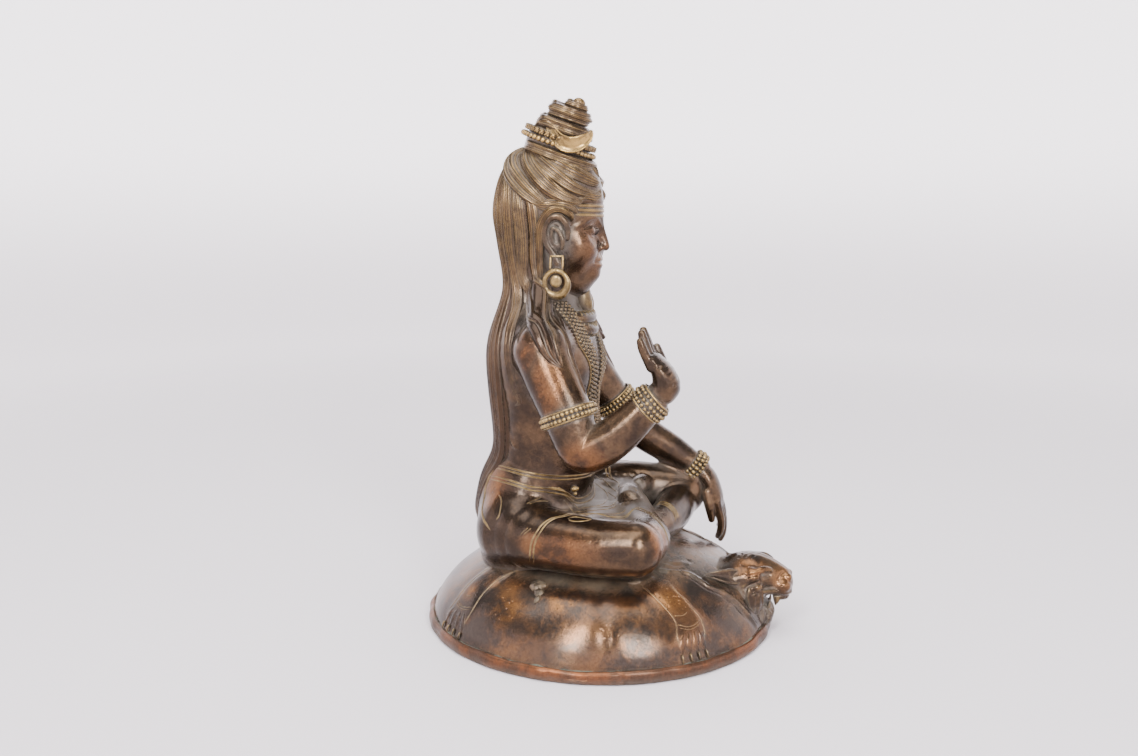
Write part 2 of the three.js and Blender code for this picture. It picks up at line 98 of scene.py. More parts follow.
class Wax:
    """A block of wax: at each point of a grid it holds the distance to the surface, in millimetres."""

    far = 8.0  # the distance that an empty block holds
    margin = 1.5  # how far past its blend a form is worked out

    def __init__(self, low, high, grain):
        self.low = np.array(low, float)
        self.grain = grain
        self.field = np.full(np.ceil((np.array(high) - low) / grain).astype(int) + 1, self.far, np.float32)

    def window(self, points, reach):
        first = np.floor((points.min(0) - reach - self.low) / self.grain).astype(int)
        last = np.ceil((points.max(0) + reach - self.low) / self.grain).astype(int) + 1
        first = np.clip(first, 0, self.field.shape)
        last = np.clip(last, first, self.field.shape)
        axes = [(self.low[k] + self.grain * np.arange(first[k], last[k])).astype(np.float32)
                for k in range(3)]
        where = tuple(slice(a, b) for a, b in zip(first, last))
        return where, np.meshgrid(*axes, indexing="ij", sparse=True)

    def bar(self, a, b, across, grid):
        """Distance to an oval bar between two stations [x, y, z, half width, half depth]."""
        run = b[:3] - a[:3]
        length = max(float(np.linalg.norm(run)), 1e-6)
        along = run / length
        across = UP if abs(across @ along) > 0.9 else across
        wide = unit(across - (across @ along) * along)
        deep = np.cross(along, wide)
        x, y, z = (grid[k] - np.float32(a[k]) for k in range(3))
        s, p, q = (x * np.float32(v[0]) + y * np.float32(v[1]) + z * np.float32(v[2])
                   for v in (along, wide, deep))
        t = np.clip(s / length, 0, 1)
        w = a[3] + (b[3] - a[3]) * t
        d = a[4] + (b[4] - a[4]) * t
        end = (s - t * length) / np.minimum(w, d)
        p = p / w
        q = q / d
        near = np.sqrt(p * p + q * q + end * end + 1e-6)
        slope = np.sqrt((p / w)**2 + (q / d)**2 + (end * end + 1e-6) / np.minimum(w, d)**2)
        return near * (near - 1) / slope

    def form(self, stations, steps, across, reach):
        """Distance to a form through stations [x, y, z, half width, half depth], or of four numbers."""
        line = eased([[*s, s[3]] if len(s) == 4 else s for s in stations], steps)
        whole = self.window(line[:, :3], line[:, 3:5].max() + reach)[0]
        own = np.full([s.stop - s.start for s in whole], self.far, np.float32)
        for a, b in zip(line[:-1], line[1:]):
            where, grid = self.window(np.array([a[:3], b[:3]]), max(a[3], a[4], b[3], b[4]) + reach)
            local = tuple(slice(s.start - w.start, s.stop - w.start) for s, w in zip(where, whole))
            if own[local].size:
                own[local] = np.minimum(own[local], self.bar(a, b, across, grid))
        return whole, own

    @staticmethod
    def melt(a, b, blend):
        low = np.minimum(a, b)
        share = np.maximum(blend - np.abs(a - b), 0) / blend * np.clip(2 - 2 * low / blend, 0, 1)
        return low - share * share * (blend / 4)

    def roll(self, stations, blend=2.0, steps=3, across=ACROSS):
        """Adds a rounded form."""
        where, own = self.form(stations, steps, across, blend + self.margin)
        self.field[where] = self.melt(self.field[where], own, blend)

    def ball(self, centre, radii, blend=2.0):
        """Adds an ellipsoid."""
        rx, ry, rz = radii
        where, (x, y, z) = self.window(np.array([centre]), max(radii) + blend + self.margin)
        p, q, r = ((x - centre[0]) / rx, (y - centre[1]) / ry, (z - centre[2]) / rz)
        near = np.sqrt(p * p + q * q + r * r + 1e-6)
        own = near * (near - 1) / np.sqrt((p / rx)**2 + (q / ry)**2 + (r / rz)**2 + 1e-6 / min(radii)**2)
        self.field[where] = self.melt(self.field[where], own.astype(np.float32), blend)

    def cut(self, stations, blend=1.0, steps=3, across=ACROSS):
        """Takes a rounded form away."""
        where, own = self.form(stations, steps, across, blend + self.margin)
        self.field[where] = -self.melt(-self.field[where], own, blend)

    def press(self, stations, width, depth, steps=4):
        """Presses a soft line in, or with a negative depth raises one."""
        line = eased(np.array(stations, float)[:, :3], steps)
        whole = self.window(line, width * 3)[0]
        far = np.full([s.stop - s.start for s in whole], 99.0, np.float32)
        for a, b in zip(line[:-1], line[1:]):
            where, grid = self.window(np.array([a, b]), width * 3)
            local = tuple(slice(s.start - w.start, s.stop - w.start) for s, w in zip(where, whole))
            if not far[local].size:
                continue
            run = b - a
            x, y, z = (grid[k] - np.float32(a[k]) for k in range(3))
            t = np.clip((x * run[0] + y * run[1] + z * run[2]) / max(float(run @ run), 1e-9), 0, 1)
            apart = (x - t * run[0])**2 + (y - t * run[1])**2 + (z - t * run[2])**2
            far[local] = np.minimum(far[local], apart)
        self.field[whole] += depth * np.exp(-far / width**2)

    def soften(self, times=1):
        """Rubs the whole surface smooth."""
        for unused in range(times):
            for axis in range(3):
                f = np.moveaxis(self.field, axis, 0)
                f[1:-1] = f[:-2] * 0.25 + f[1:-1] * 0.5 + f[2:] * 0.25

    def crease(self, stations, width, depth, steps=4):
        """Presses a line that is first brought onto the surface."""
        self.press(self.settle(eased(stations, steps)[:, :3])[0], width, depth, 1)

    def read(self, points):
        at = np.clip((points - self.low) / self.grain, 0, np.array(self.field.shape) - 1.001)
        i = at.astype(int)
        f = at - i
        total = 0
        for corner in np.ndindex(2, 2, 2):
            weight = np.prod(np.where(corner, f, 1 - f), axis=1)
            total = total + weight * self.field[tuple((i + corner).T)]
        return total

    def settle(self, points, lift=0.0):
        """Moves points onto the surface, or to a height over it; also gives the way out of the surface."""
        p = np.array(points, float)
        for unused in range(5):
            out = unit(np.stack([self.read(p + e) - self.read(p - e) for e in np.eye(3) * self.grain], 1))
            p -= np.clip(self.read(p) - lift, -3, 3)[:, None] * out
        return p, out

    def cast(self):
        """The surface as points and four-sided faces."""
        d = self.field
        inside = d < 0
        corners = [inside[i:inside.shape[0] - 1 + i, j:inside.shape[1] - 1 + j, k:inside.shape[2] - 1 + k]
                   for i, j, k in np.ndindex(2, 2, 2)]
        full = corners[0].copy()
        some = corners[0].copy()
        for corner in corners[1:]:
            full &= corner
            some |= corner
        cells = np.argwhere(some & ~full)
        number = np.full(full.shape, -1, np.int32)
        number[tuple(cells.T)] = np.arange(len(cells))
        total = np.zeros((len(cells), 3))
        crossings = np.zeros(len(cells))
        for axis in range(3):
            for i, j in np.ndindex(2, 2):
                start = np.insert([i, j], axis, 0)
                a = cells + start
                b = a + np.eye(3, dtype=int)[axis]
                da, db = d[tuple(a.T)], d[tuple(b.T)]
                crosses = (da < 0) != (db < 0)
                t = np.where(crosses, da / np.where(crosses, da - db, 1), 0)
                total += crosses[:, None] * (start + np.eye(3)[axis] * t[:, None])
                crossings += crosses
        points = self.low + self.grain * (cells + total / crossings[:, None])
        faces = []
        for axis in range(3):
            here = np.take(inside, range(inside.shape[axis] - 1), axis)
            there = np.take(inside, range(1, inside.shape[axis]), axis)
            edges = np.argwhere(here != there)
            one, two = [k for k in range(3) if k != axis]
            edges = edges[(edges[:, one] > 0) & (edges[:, two] > 0)]
            edges = edges[(edges[:, one] < number.shape[one]) & (edges[:, two] < number.shape[two])]
            e1, e2 = np.eye(3, dtype=int)[one], np.eye(3, dtype=int)[two]
            quads = np.stack([number[tuple((edges - e).T)] for e in (e1 + e2, e2, 0 * e1, e1)], 1)
            flip = here[tuple(edges.T)] == (axis == 1)
            quads[flip] = quads[flip, ::-1]
            faces.append(quads)
        return points, np.vstack(faces)


# Meshes

def skinned(rings):
    """Points and faces of a closed skin over rings of points."""
    rings = np.asarray(rings, float)
    n, m = rings.shape[:2]
    j = np.arange(m)
    k = (j + 1) % m
    i = (np.arange(n - 1) * m)[:, None]
    sides = np.stack([i + j, i + k, i + m + k, i + m + j], -1).reshape(-1, 4)
    first = np.stack([np.full(m, n * m), k, j], 1)
    last = np.stack([np.full(m, n * m + 1), (n - 1) * m + j, (n - 1) * m + k], 1)
    points = np.vstack([rings.reshape(-1, 3), rings[0].mean(0), rings[-1].mean(0)])
    return points, [sides, first, last]


def veil(points, centre, radii, fade=0.45):
    """1 inside an ellipsoid, easing to 0 outside it."""
    far = np.sqrt((((points - centre) / radii) ** 2).sum(1))
    return np.clip((1 - far) / fade, 0, 1)


class Piece:
    """Gathers skins and makes one object of them, with what the finish needs to know at each point:
    shade_and_stain, painted shade in grooves, on the sides and undersides of locks and under beads, with
    the mound's real stains; bright on rubbed metal, film under grey dust and flush where the patina is
    chestnut."""

    marks = ("shade_and_stain", "bright", "film", "flush")

    def __init__(self):
        self.points, self.faces, self.values = [], [], {mark: [] for mark in self.marks}
        self.count = 0

    def add(self, points, faces, shade_and_stain=0.0, bright=0.0, film=0.0, flush=0.0):
        self.points.append(points)
        for mark, value in zip(self.marks, (shade_and_stain, bright, film, flush)):
            self.values[mark].append(np.broadcast_to(np.asarray(value, float), len(points)))
        self.faces += [np.asarray(f) + self.count for f in (faces if isinstance(faces, list) else [faces])]
        self.count += len(points)

    def add_wax(self, wax, film=(), flush=(), clean=()):
        points, faces = wax.cast()
        dusty, warm = np.zeros(len(points)), np.zeros(len(points))
        for centre, radii, share in film:
            dusty = np.maximum(dusty, veil(points, centre, radii) * share)
        for centre, radii, share in clean:
            dusty *= 1 - veil(points, centre, radii) * share
        for centre, radii, share in flush:
            warm = np.maximum(warm, veil(points, centre, radii) * share)
        self.add(points, faces, film=dusty, flush=warm)

    def made(self, name, material, node, slot, budget=190000):
        points = np.vstack(self.points) * 0.001
        sizes = np.concatenate([np.full(len(f), f.shape[1]) for f in self.faces])
        mesh = bpy.data.meshes.new(name)
        mesh.vertices.add(len(points))
        mesh.vertices.foreach_set("co", points.astype(np.float32).ravel())
        mesh.loops.add(int(sizes.sum()))
        mesh.loops.foreach_set("vertex_index",
                               np.concatenate([f.ravel() for f in self.faces]).astype(np.int32))
        mesh.polygons.add(len(sizes))
        mesh.polygons.foreach_set("loop_start", (np.cumsum(sizes) - sizes).astype(np.int32))
        mesh.polygons.foreach_set("use_smooth", np.ones(len(sizes), bool))
        for mark in self.marks:
            layer = mesh.attributes.new(mark, "FLOAT", "POINT")
            layer.data.foreach_set("value", np.concatenate(self.values[mark]).astype(np.float32))
        mesh.update(calc_edges=True)
        thing = bpy.data.objects.new(name, mesh)
        bpy.context.scene.collection.objects.link(thing)
        triangles = int((sizes - 2).sum())
        if triangles > budget:
            fewer = thing.modifiers.new("fewer", "DECIMATE")
            fewer.ratio = budget / triangles
            ready = thing.evaluated_get(bpy.context.evaluated_depsgraph_get())
            thinned = bpy.data.meshes.new_from_object(ready)
            thing.modifiers.remove(fewer)
            thing.data = thinned
        thing.data.materials.append(material)
        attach(thing, "root")
        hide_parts(node)
        print(name, "triangles", len(thing.data.loops) - 2 * len(thing.data.polygons))


def tube(line, facing, profile):
    """A bar along a line [x, y, z, half width, height] with the given section."""
    across, out = directions(line[:, :3], facing)
    a, b = profile
    rings = (line[:, None, :3] + across[:, None] * (line[:, 3, None] * a)[..., None]
             + out[:, None] * (line[:, 4, None] * b)[..., None])
    return skinned(rings)


def oval(count):
    turn = np.arange(count) / count * 2 * math.pi
    return np.cos(turn), np.sin(turn)


def combed(piece, stations, facing, lines, steps, relief, bright=0.0, bend=0.0):
    """A lock of combed hair. Stations are [x, y, z, half width, height]; it curls over the radius bend."""
    line = eased(stations, steps)
    xyz, wide, high = line[:, :3], np.maximum(line[:, 3], 0.12), np.maximum(line[:, 4], 0.1)
    across, out = directions(xyz, facing)
    under = 0.55  # how far it reaches below its line, as a share of its height
    # Over its width u, the top is a dome with a groove between one line of hair and the next
    u = np.linspace(1, -1, lines * 3 + 1)
    run = np.linspace(0, 1, len(line))[:, None]
    phase = (u[None] + 1) / 2 * lines
    share = np.abs(np.sin(math.pi * phase)) ** 0.75
    gain = rng.uniform(0.75, 1.25, lines + 1)[np.minimum(phase.astype(int), lines)]
    ease = np.minimum(1, 3.2 * (1 - np.abs(u[None]) ** 6)) * np.clip(wide[:, None] / 1.8 - 0.15, 0, 1)
    bundle = 0.16 * np.cos(u[None] * 6.6 + rng.uniform(0, 6) + run * 1.5) * np.minimum(1, wide[:, None] / 4)
    dome = np.sqrt(np.maximum(1 - np.abs(u) ** 2.6, 0))
    rise = high[:, None] * dome[None] * (1 + bundle) - relief * gain * (1 - share) * ease

    def strip(share_of_width, level):
        """Points over the width of the lock, sagging with its bend."""
        aside = wide[:, None] * share_of_width[None]
        sag = aside ** 2 / (2 * bend) if bend else 0.0
        return xyz[:, None] + across[:, None] * aside[..., None] + out[:, None] * (level - sag)[..., None]

    below = strip(np.array([-0.72, 0, 0.72]), high[:, None] * np.array([-under, -under * 1.3, -under]))
    points, faces = skinned(np.concatenate([strip(u, rise), below], 1))
    # Painted shade: darker in the grooves between lines of hair, at the lock's sides and over its whole
    # underside
    shade_and_stain = np.concatenate([np.maximum((1 - share) * ease, 1.3 * u[None] ** 6),
                             np.full((len(line), 3), 1.0)], 1)
    piece.add(points, faces, np.append(shade_and_stain.ravel(), [0.5, 0.5]), bright)


def cord(piece, points, radius, facing=None, flat=0.8, bright=0.0, wax=None, lift=0.0, steps=6,
         sides=8, ends=0.25):
    """A thin raised line, laid on the wax where one is given. Its ends taper."""
    line = eased(points, steps)
    if wax is not None:
        line[:, :3], facing = wax.settle(line[:, :3], lift)
    width = np.full(len(line), float(radius))
    run = np.linspace(0, 1, len(line))
    width *= np.minimum(1, ends + 8 * np.minimum(run, 1 - run))
    piece.add(*tube(np.column_stack([line[:, :3], width, width * flat]), facing, oval(sides)),
              bright=bright)


def bead_shape(around=8, high=6):
    lat = (np.arange(1, high) / high - 0.5) * math.pi
    turn = np.arange(around) / around * 2 * math.pi
    rings = np.stack([np.cos(lat)[:, None] * np.cos(turn), np.cos(lat)[:, None] * np.sin(turn),
                      np.broadcast_to(np.sin(lat)[:, None], (high - 1, around))], -1)
    points, faces = skinned(rings)
    points[-2], points[-1] = [0, 0, -1], [0, 0, 1]
    return points, faces


BEAD = bead_shape()


def beads(piece, centres, along, out, radii, bright=0.0, shape=BEAD):
    """Beads at the given centres; radii are across, along and out of the row."""
    across = unit(np.cross(along, out))
    points, faces = shape
    radii = np.broadcast_to(radii, (len(centres), 3))
    # Painted shade on each bead's lower half, darkest where it sits against the surface
    for c, a, b, o, r in zip(centres, across, along, out, radii):
        piece.add(c + points[:, :1] * a * r[0] + points[:, 1:2] * b * r[1] + points[:, 2:] * o * r[2],
                  faces, np.clip(0.55 - 0.6 * points[:, 2], 0, 1), bright)


def ring_line(centre, axis, radii, start, end, count, wide=ACROSS):
    """A round or oval line about an axis, and the way out of it; angle 0 lies along the direction wide."""
    axis = unit(axis)
    wide = unit(wide - (wide @ axis) * axis)
    high = np.cross(axis, wide)
    turn = np.radians(np.linspace(start, end, count))
    out = np.cos(turn)[:, None] * wide * radii[0] + np.sin(turn)[:, None] * high * radii[1]
    return np.array(centre, float) + out, unit(out)


# Body: trunk, arms, crossed legs and the cloth over the lap

TRUNK = [[0, 36, 28, 36, 24], [0, 36.5, 42, 45, 29], [0, 36.5, 56, 46, 30], [0, 35, 71, 40, 30],
         [0, 30, 84, 35, 27.2], [0, 28.6, 100, 34.5, 25.6], [0, 28.4, 120, 38, 25.8], [0, 29, 140, 42, 27],
         [0, 29.5, 153, 40, 25.5], [0, 30, 164, 27, 21]]
SHOULDERS = [[-41, 21, 153, 13.5, 13.5], [0, 27, 158, 17, 14], [41, 23.4, 152, 13.5, 13.5]]
NECK = [[0, 28, 158, 15, 14], [0, 25, 172, 13, 12.5], [0, 26, 186, 14, 14]]
RIGHT_ARM = [[-41, 22, 153, 13.6, 14], [-47, 15, 140, 12.6, 13.4], [-53, 5, 122, 11.8, 12.4],
             [-56, -1.5, 107, 10.6, 10.4], [-55.5, -10, 108.5, 10.4, 11], [-54, -22, 117, 9.6, 10],
             [-51, -36, 131.5, 7.6, 8]]
LEFT_ARM = [[41, 24.6, 152, 13.6, 14], [44, 17.4, 135, 12.4, 12.8], [48, 6, 117, 11.4, 11.8],
            [52, -6, 100, 10.4, 10.8], [55, -18, 90.4, 9.8, 10], [58, -33, 80.8, 8.8, 9],
            [60, -48, 70.5, 7.4, 7]]


def body_wax():
    wax = Wax([-74, -70, 25], [74, 73, 180], 0.75)
    wax.roll(TRUNK, 3, steps=4)
    wax.roll(SHOULDERS, 7, across=DEEP)
    for side in BOTH:
        wax.ball([side * 15, 9, 141], [15, 7.4, 11.5], 6)
    wax.ball([0, 12, 97], [25, 11.4, 17], 7)
    wax.press([[0, 2, 152], [0, 1.6, 138], [0, 3, 124]], 2.6, 0.9)
    wax.press([[-4, 0, 104], [0, 0, 103], [4, 0, 104]], 1.6, 1.0)
    wax.roll(NECK, 4)
    wax.roll(RIGHT_ARM, 2.5, steps=5)
    wax.roll(LEFT_ARM, 2.5, steps=5)
    wax.press([[-46.5, -8, 119], [-54, -8.5, 122.5], [-62, -7, 119]], 1.4, 0.7)
    # Thighs, shins and knees
    wax.roll([[-30, 39, 55, 21, 22], [-44, 20, 56, 17, 16], [-55, -8, 57, 14.6, 14.6],
              [-57, -29, 58.4, 13.8, 14]], 4)
    wax.roll([[30, 40, 55, 21, 22], [42, 18, 58, 17, 16.5], [52, -12, 59.6, 15, 15],
              [58, -39, 56.5, 13.4, 14]], 4)
    wax.roll([[57, -37, 54, 11.5, 12], [34, -36, 51, 11, 11], [8, -31, 50, 9.8, 9.6], [-18, -22, 50, 8, 8]],
             2, across=DEEP)
    wax.roll([[-57, -30, 59, 11.5, 12], [-36, -33, 57, 11, 11.4], [-12, -26, 57, 9.6, 9.8],
              [10, -18, 61, 8, 7.6]], 2, across=DEEP)
    # Cloth over the lap, sagging between the thighs
    wax.roll([[-40, 6, 58, 22, 9.5], [0, 2, 57, 26, 8.5], [40, 4, 60, 22, 11]], 4, across=DEEP)
    # Right foot, sole up on the left calf, and the end of the left foot beside it
    wax.roll([[4, -19, 61, 6, 6.4], [14, -15, 64.5, 6.8, 6], [26, -12, 65, 7, 4.6],
              [38, -9, 64.5, 6.4, 3.6]], 1.6, across=DEEP)
    wax.roll([[4.5, -15.5, 65.6, 6, 5.2], [12, -14.5, 66, 6, 5]], 0.8, across=DEEP)
    wax.roll([[30, -17, 66, 5, 5], [38, -17.5, 66, 5.4, 5], [42, -19, 64, 5, 4.6]], 0.8, across=DEEP)
    wax.press([[21, -1.4, 67.4], [14, -4, 65.6], [4, -6, 64]], 3.0, 1.7)
    for shift, width in ((0.0, 1.0), (2.4, 0.8)):
        arc = [[7 + shift, -15.5 + 7.4 * math.cos(t), 66 + 6.2 * math.sin(t)]
               for t in np.linspace(-0.4, 2.6, 7)]
        wax.press(arc, width, 0.8)
    for x, y, z, size in ((34, 3, 69, 2.8), (37.6, -2, 69.6, 2.5), (39.6, -7, 69.4, 2.4),
                          (41.2, -11.6, 69, 2.3), (43, -16, 68.6, 2.1)):
        wax.ball([x, y, z], [size * 1.1, size * 1.1, size * 0.8], 0.5)
    wax.ball([3.4, -17.4, 65.2], [5.6, 6.4, 5], 1)
    for x, y, z in ((-1.8, -22.4, 65.4), (-2.8, -19.4, 65.2), (-3, -16.6, 64.6), (-2.4, -14, 64)):
        wax.ball([x, y, z], [1.9, 1.6, 1.7], 0.5)
    wax.press([[-31.7, 45.2, 125.2], [-29.8, 44.8, 110.3], [-31.4, 41.4, 102.2], [-32.6, 34.6, 99.9],
               [-34, 27.3, 99.8], [-28.8, 17, 98.8]], 1.0, -0.7)
    return wax


def hand(wax, wrist, palm, fingers, thumb):
    wax.roll(wrist + palm, 1.2)
    for finger in fingers:
        wax.roll(finger, 0.9)
    wax.roll(thumb, 1.4)


def hands():
    piece = Piece()
    right = Wax([-62, -52, 128], [-32, -22, 168.5], 0.42)
    fingers = []
    for i, (length, thick) in enumerate(((10.5, 2.35), (13.5, 2.6), (14.2, 2.7), (12.4, 2.6))):
        x = -54.2 + i * 4.5
        spread = (i - 1.5) * 0.012
        fingers.append([[x, -36, 149, thick + 0.3], [x + spread * length, -33, 150 + length * 0.45, thick],
                        [x + spread * length * 1.5, -31.4, 150 + length * 0.8, thick * 0.94],
                        [x + spread * length * 2, -30.4, 150 + length * 1.08, thick * 0.74]])
    hand(right, [[-51, -35, 130, 7.4, 7.4], [-50, -38, 134, 7.4, 6.4]],
         [[-49, -42.4, 138.6, 9, 7], [-48.2, -41, 145, 9.8, 5.6], [-47.5, -36.6, 151.4, 9.2, 3.8]], fingers,
         [[-43, -42, 140, 3.8], [-39, -39.6, 146.6, 3.1], [-37.6, -37.4, 152, 2.7], [-37.4, -36, 156.4, 2]])
    for x in (-56, -51.4, -46.6, -41.8):
        right.press([[x - 1.8, -40, 149.6], [x + 1.8, -40, 149.6]], 0.7, 0.5)
    right.press([[-55, -46.5, 141], [-49, -47.4, 144], [-43, -45, 146]], 0.8, 0.6)
    left = Wax([46, -68.5, 24], [73, -42, 76], 0.42)
    ends = [[55, -61, 30], [59.6, -62.4, 27], [64, -62, 28.5], [68, -60.6, 33]]
    fingers = []
    for i, (x, y, z) in enumerate(ends):
        a = np.array([53.6 + i * 4.6, -59.5, 52])
        b = np.array([x, y, z])
        m = a + (b - a) * 0.5 + [0, -2.2, 0]
        n = a + (b - a) * 0.78 + [0, -1.4, 0]
        fingers.append([[*a, 2.7], [*m, 2.35], [*n, 2.15], [*(b + [0, 0.4, 1.2]), 1.6]])
    hand(left, [[60, -46, 72.4, 7.2, 6.8], [60, -49, 69, 7.4, 6.2]],
         [[60, -54, 64.5, 8.4, 5.4], [60, -58, 56, 9.2, 4.6], [60.5, -59.8, 51, 8.9, 3.4]], fingers,
         [[53, -53.5, 58, 3.2], [51, -56, 49, 2.8], [52.6, -57, 42, 2]])
    for i in range(3):
        left.press([[56 + i * 4.6, -64, 51], [56 + i * 4.6, -63, 56]], 0.8, 0.5)
    piece.add_wax(right)
    piece.add_wax(left)
    return piece


# Head. The face is a plain one, set out in even thirds from chin to hairline.

CHIN = 186.0
THIRD = 15.6
NOSE = CHIN + THIRD
BROW = NOSE + THIRD
HAIRLINE = BROW + THIRD
EYE = BROW - 5
MOUTH = CHIN + 9.4
EAR = 23.2
SKULL = [[0, 13, CHIN - 1.5, 8, 8], [0, 17, CHIN + 4, 14, 15.6], [0, 21, MOUTH, 18.5, 19.8],
         [0, 23.8, NOSE, 21.5, 23], [0, 24.4, EYE, 23, 25], [0, 25.2, BROW + 6, 23.2, 26.6],
         [0, 24.6, HAIRLINE + 1, 21, 24.2], [0, 25, HAIRLINE + 7, 12, 14]]


def forehead_lines(shift=0.0):
    """Three level lines across the forehead, from temple to temple."""
    pitch = 2.3
    return [[[x, 0.4 + (x / 6.5) ** 2, BROW + 2.5 + pitch * k + shift + abs(x) * 0.04]
             for x in (-19.5, -15, -8, 0, 8, 15, 19.5)] for k in range(3)]


def head_wax():
    wax = Wax([-30, -9, 174], [30, 62, 252], 0.5)
    wax.roll(SKULL, 2, steps=5)
    for side in BOTH:
        wax.ball([side * 11, 9.4, NOSE + 1], [9, 8.6, 9], 7)
        wax.cut(on_side(side, [[8.4, -2.6, EYE + 0.4, 5.4, 4.4], [12, -1.2, EYE, 5.2, 4]]), 4.5)
    wax.ball([0, 5.6, MOUTH], [8.6, 5.6, 6], 4)
    wax.ball([0, 6.2, CHIN + 3.4], [6.8, 5.8, 4.6], 3.4)
    wax.soften(4)
    for side in BOTH:
        wax.ball([side * 9.3, 6.3, EYE - 0.4], [6.2, 5.4, 4.4], 1.2)
    wax.roll([[0, 1.8, BROW, 2, 2.4], [0, 0.2, EYE, 1.8, 2.5], [0, -1.8, NOSE + 4.6, 2.3, 2.5],
              [0, -2.7, NOSE + 1.9, 2.7, 2.3]], 2.4)
    for side in BOTH:
        wax.ball([side * 2.9, 0, NOSE + 1.3], [1.9, 2.6, 1.7], 1.4)
    wax.soften(2)
    # Brows, lowered lids, folds beside the nose, nostrils, lips, and grooves over the three lines
    for side in BOTH:
        wax.crease(on_side(side, [[2.4, 0, BROW - 2.6], [7.4, 0, BROW + 0.6], [13, 3, BROW + 0.8],
                                  [18.6, 9, BROW - 3]]), 1.1, -0.75)
        wax.crease(on_side(side, [[3.4, 3.4, EYE - 1], [6.4, 1.4, EYE - 2.4], [10.4, 1.6, EYE - 2.5],
                                  [15, 5.4, EYE - 0.8]]), 0.5, 0.8)
        wax.crease(on_side(side, [[3.6, 3.4, EYE + 1.6], [6.8, 2, EYE + 3.2], [11, 2.4, EYE + 3],
                                  [15.4, 6, EYE + 0.8]]), 0.55, 0.5)
        wax.crease(on_side(side, [[4.4, 3.2, EYE - 1.9], [8, 1.6, EYE - 3.4], [12, 2.6, EYE - 3.2]]), 0.6,
                   -0.3)
        wax.crease(on_side(side, [[4.9, 1.6, NOSE + 2.6], [6.8, 3, NOSE - 1.6], [8.2, 4, MOUTH + 2]]), 1.1,
                   0.35)
        wax.cut(on_side(side, [[1.5, -2.2, NOSE - 0.5, 0.65], [1.5, -1.4, NOSE + 0.7, 0.5]]), 0.4)
    wax.roll([[-6.2, 2.6, MOUTH + 0.3, 0.7], [-3.2, 0.6, MOUTH + 1.3, 1.2], [-0.9, 0.2, MOUTH + 1.5, 1.2],
              [0.9, 0.2, MOUTH + 1.5, 1.2], [3.2, 0.6, MOUTH + 1.3, 1.2], [6.2, 2.6, MOUTH + 0.3, 0.7]],
             1.4)
    wax.roll([[-5.2, 2.2, MOUTH - 0.8, 0.7], [-2.2, 0.6, MOUTH - 1.7, 1.3], [2.2, 0.6, MOUTH - 1.7, 1.3],
              [5.2, 2.2, MOUTH - 0.8, 0.7]], 1.4)
    wax.crease([[-7, 3.4, MOUTH + 0.6], [-3, 0, MOUTH - 0.1], [0, -0.8, MOUTH + 0.1], [3, 0, MOUTH - 0.1],
                [7, 3.4, MOUTH + 0.6]], 0.5, 0.9)
    wax.crease([[0, 0, NOSE - 1.6], [0, -0.6, MOUTH + 3]], 0.8, 0.4)
    for points in forehead_lines(1.15):
        wax.crease(points, 0.6, 0.7)
    # Ears: bowl, rim, inner fold and long pierced lobe
    for side in BOTH:
        wax.ball([side * EAR, 18.6, 210], [2.4, 5, 8], 1.5)
        wax.cut(on_side(side, [[EAR + 3.2, 18.4, 213.5, 2.4, 3], [EAR + 3.2, 17.6, 207, 1.9, 2.4]]), 0.8,
                across=DEEP)
        rim = [[EAR, 12.6, 208.5, 1.4], [EAR + 1.6, 12.2, 214.4, 1.7], [EAR + 2.2, 15.6, 219, 1.9],
               [EAR + 2.4, 21, 218.6, 2], [EAR + 2, 24.4, 213, 2], [EAR + 1.4, 23.2, 206, 1.9],
               [EAR + 1, 20, 201, 2], [EAR + 1.2, 17.6, 196, 2.4], [EAR + 1.4, 17.2, 192, 2]]
        fold = [[EAR + 1.4, 15, 203.6, 1], [EAR + 2, 14.6, 207, 1.3], [EAR + 1.6, 16.4, 211.6, 1.2],
                [EAR + 1.8, 19.6, 213.6, 1.1], [EAR + 1.6, 20.6, 209.6, 0.9]]
        for line in (rim, fold):
            wax.roll(on_side(side, line), 0.7)
    return wax


# Hair

CROWN_AT = np.array([0, 27.5, 221.0])
CROWN_SIZE = np.array([25.5, 30.0, 30.0])
FALL = [[0, 33, 243, 12, 16], [0, 33, 237, 18, 20.4], [0, 33, 226, 23.5, 23.4], [0, 32.5, 208, 23.6, 22.6],
        [0, 32, 192, 22, 20.6], [0, 34.6, 178, 22, 17.6], [0, 38.4, 165, 27, 17], [0, 42.4, 150, 33, 17.4],
        [0, 43, 130, 34, 15.6], [0, 42.2, 108, 31, 14.4], [0, 43, 90, 28, 13.6], [0, 49.6, 74, 26, 13.6],
        [0, 56, 60, 25, 13], [0, 56, 48, 20, 11.5]]
TUFT = [[22, 27, 184, 5, 5], [31, 25, 172, 6.6, 5], [42, 22, 164, 7, 4], [50, 16, 156, 5, 3.4],
        [54, 9, 148, 1.6, 1.6]]
FALL_LINE = eased(FALL, 12)


def on_crown(turn, rise):
    """A point of the crown: turn 0 is the front and 90 the figure's right side, rise 90 the top."""
    a, b = np.radians(turn), np.radians(rise)
    way = np.stack([-np.cos(b) * np.sin(a), -np.cos(b) * np.cos(a), np.sin(b) + 0 * a], -1)
    return CROWN_AT + way * CROWN_SIZE


def on_fall(turn, z):
    """A point of the hair behind: turn 0 is the middle of the back and 90 the figure's right side."""
    turn, z = np.radians(np.asarray(turn, float)), np.asarray(z, float)
    order = FALL_LINE[::-1]
    y, w, d = (np.interp(z, order[:, 2], order[:, k]) for k in (1, 3, 4))
    return np.stack([-w * np.sin(turn), y + d * np.cos(turn), z], -1)


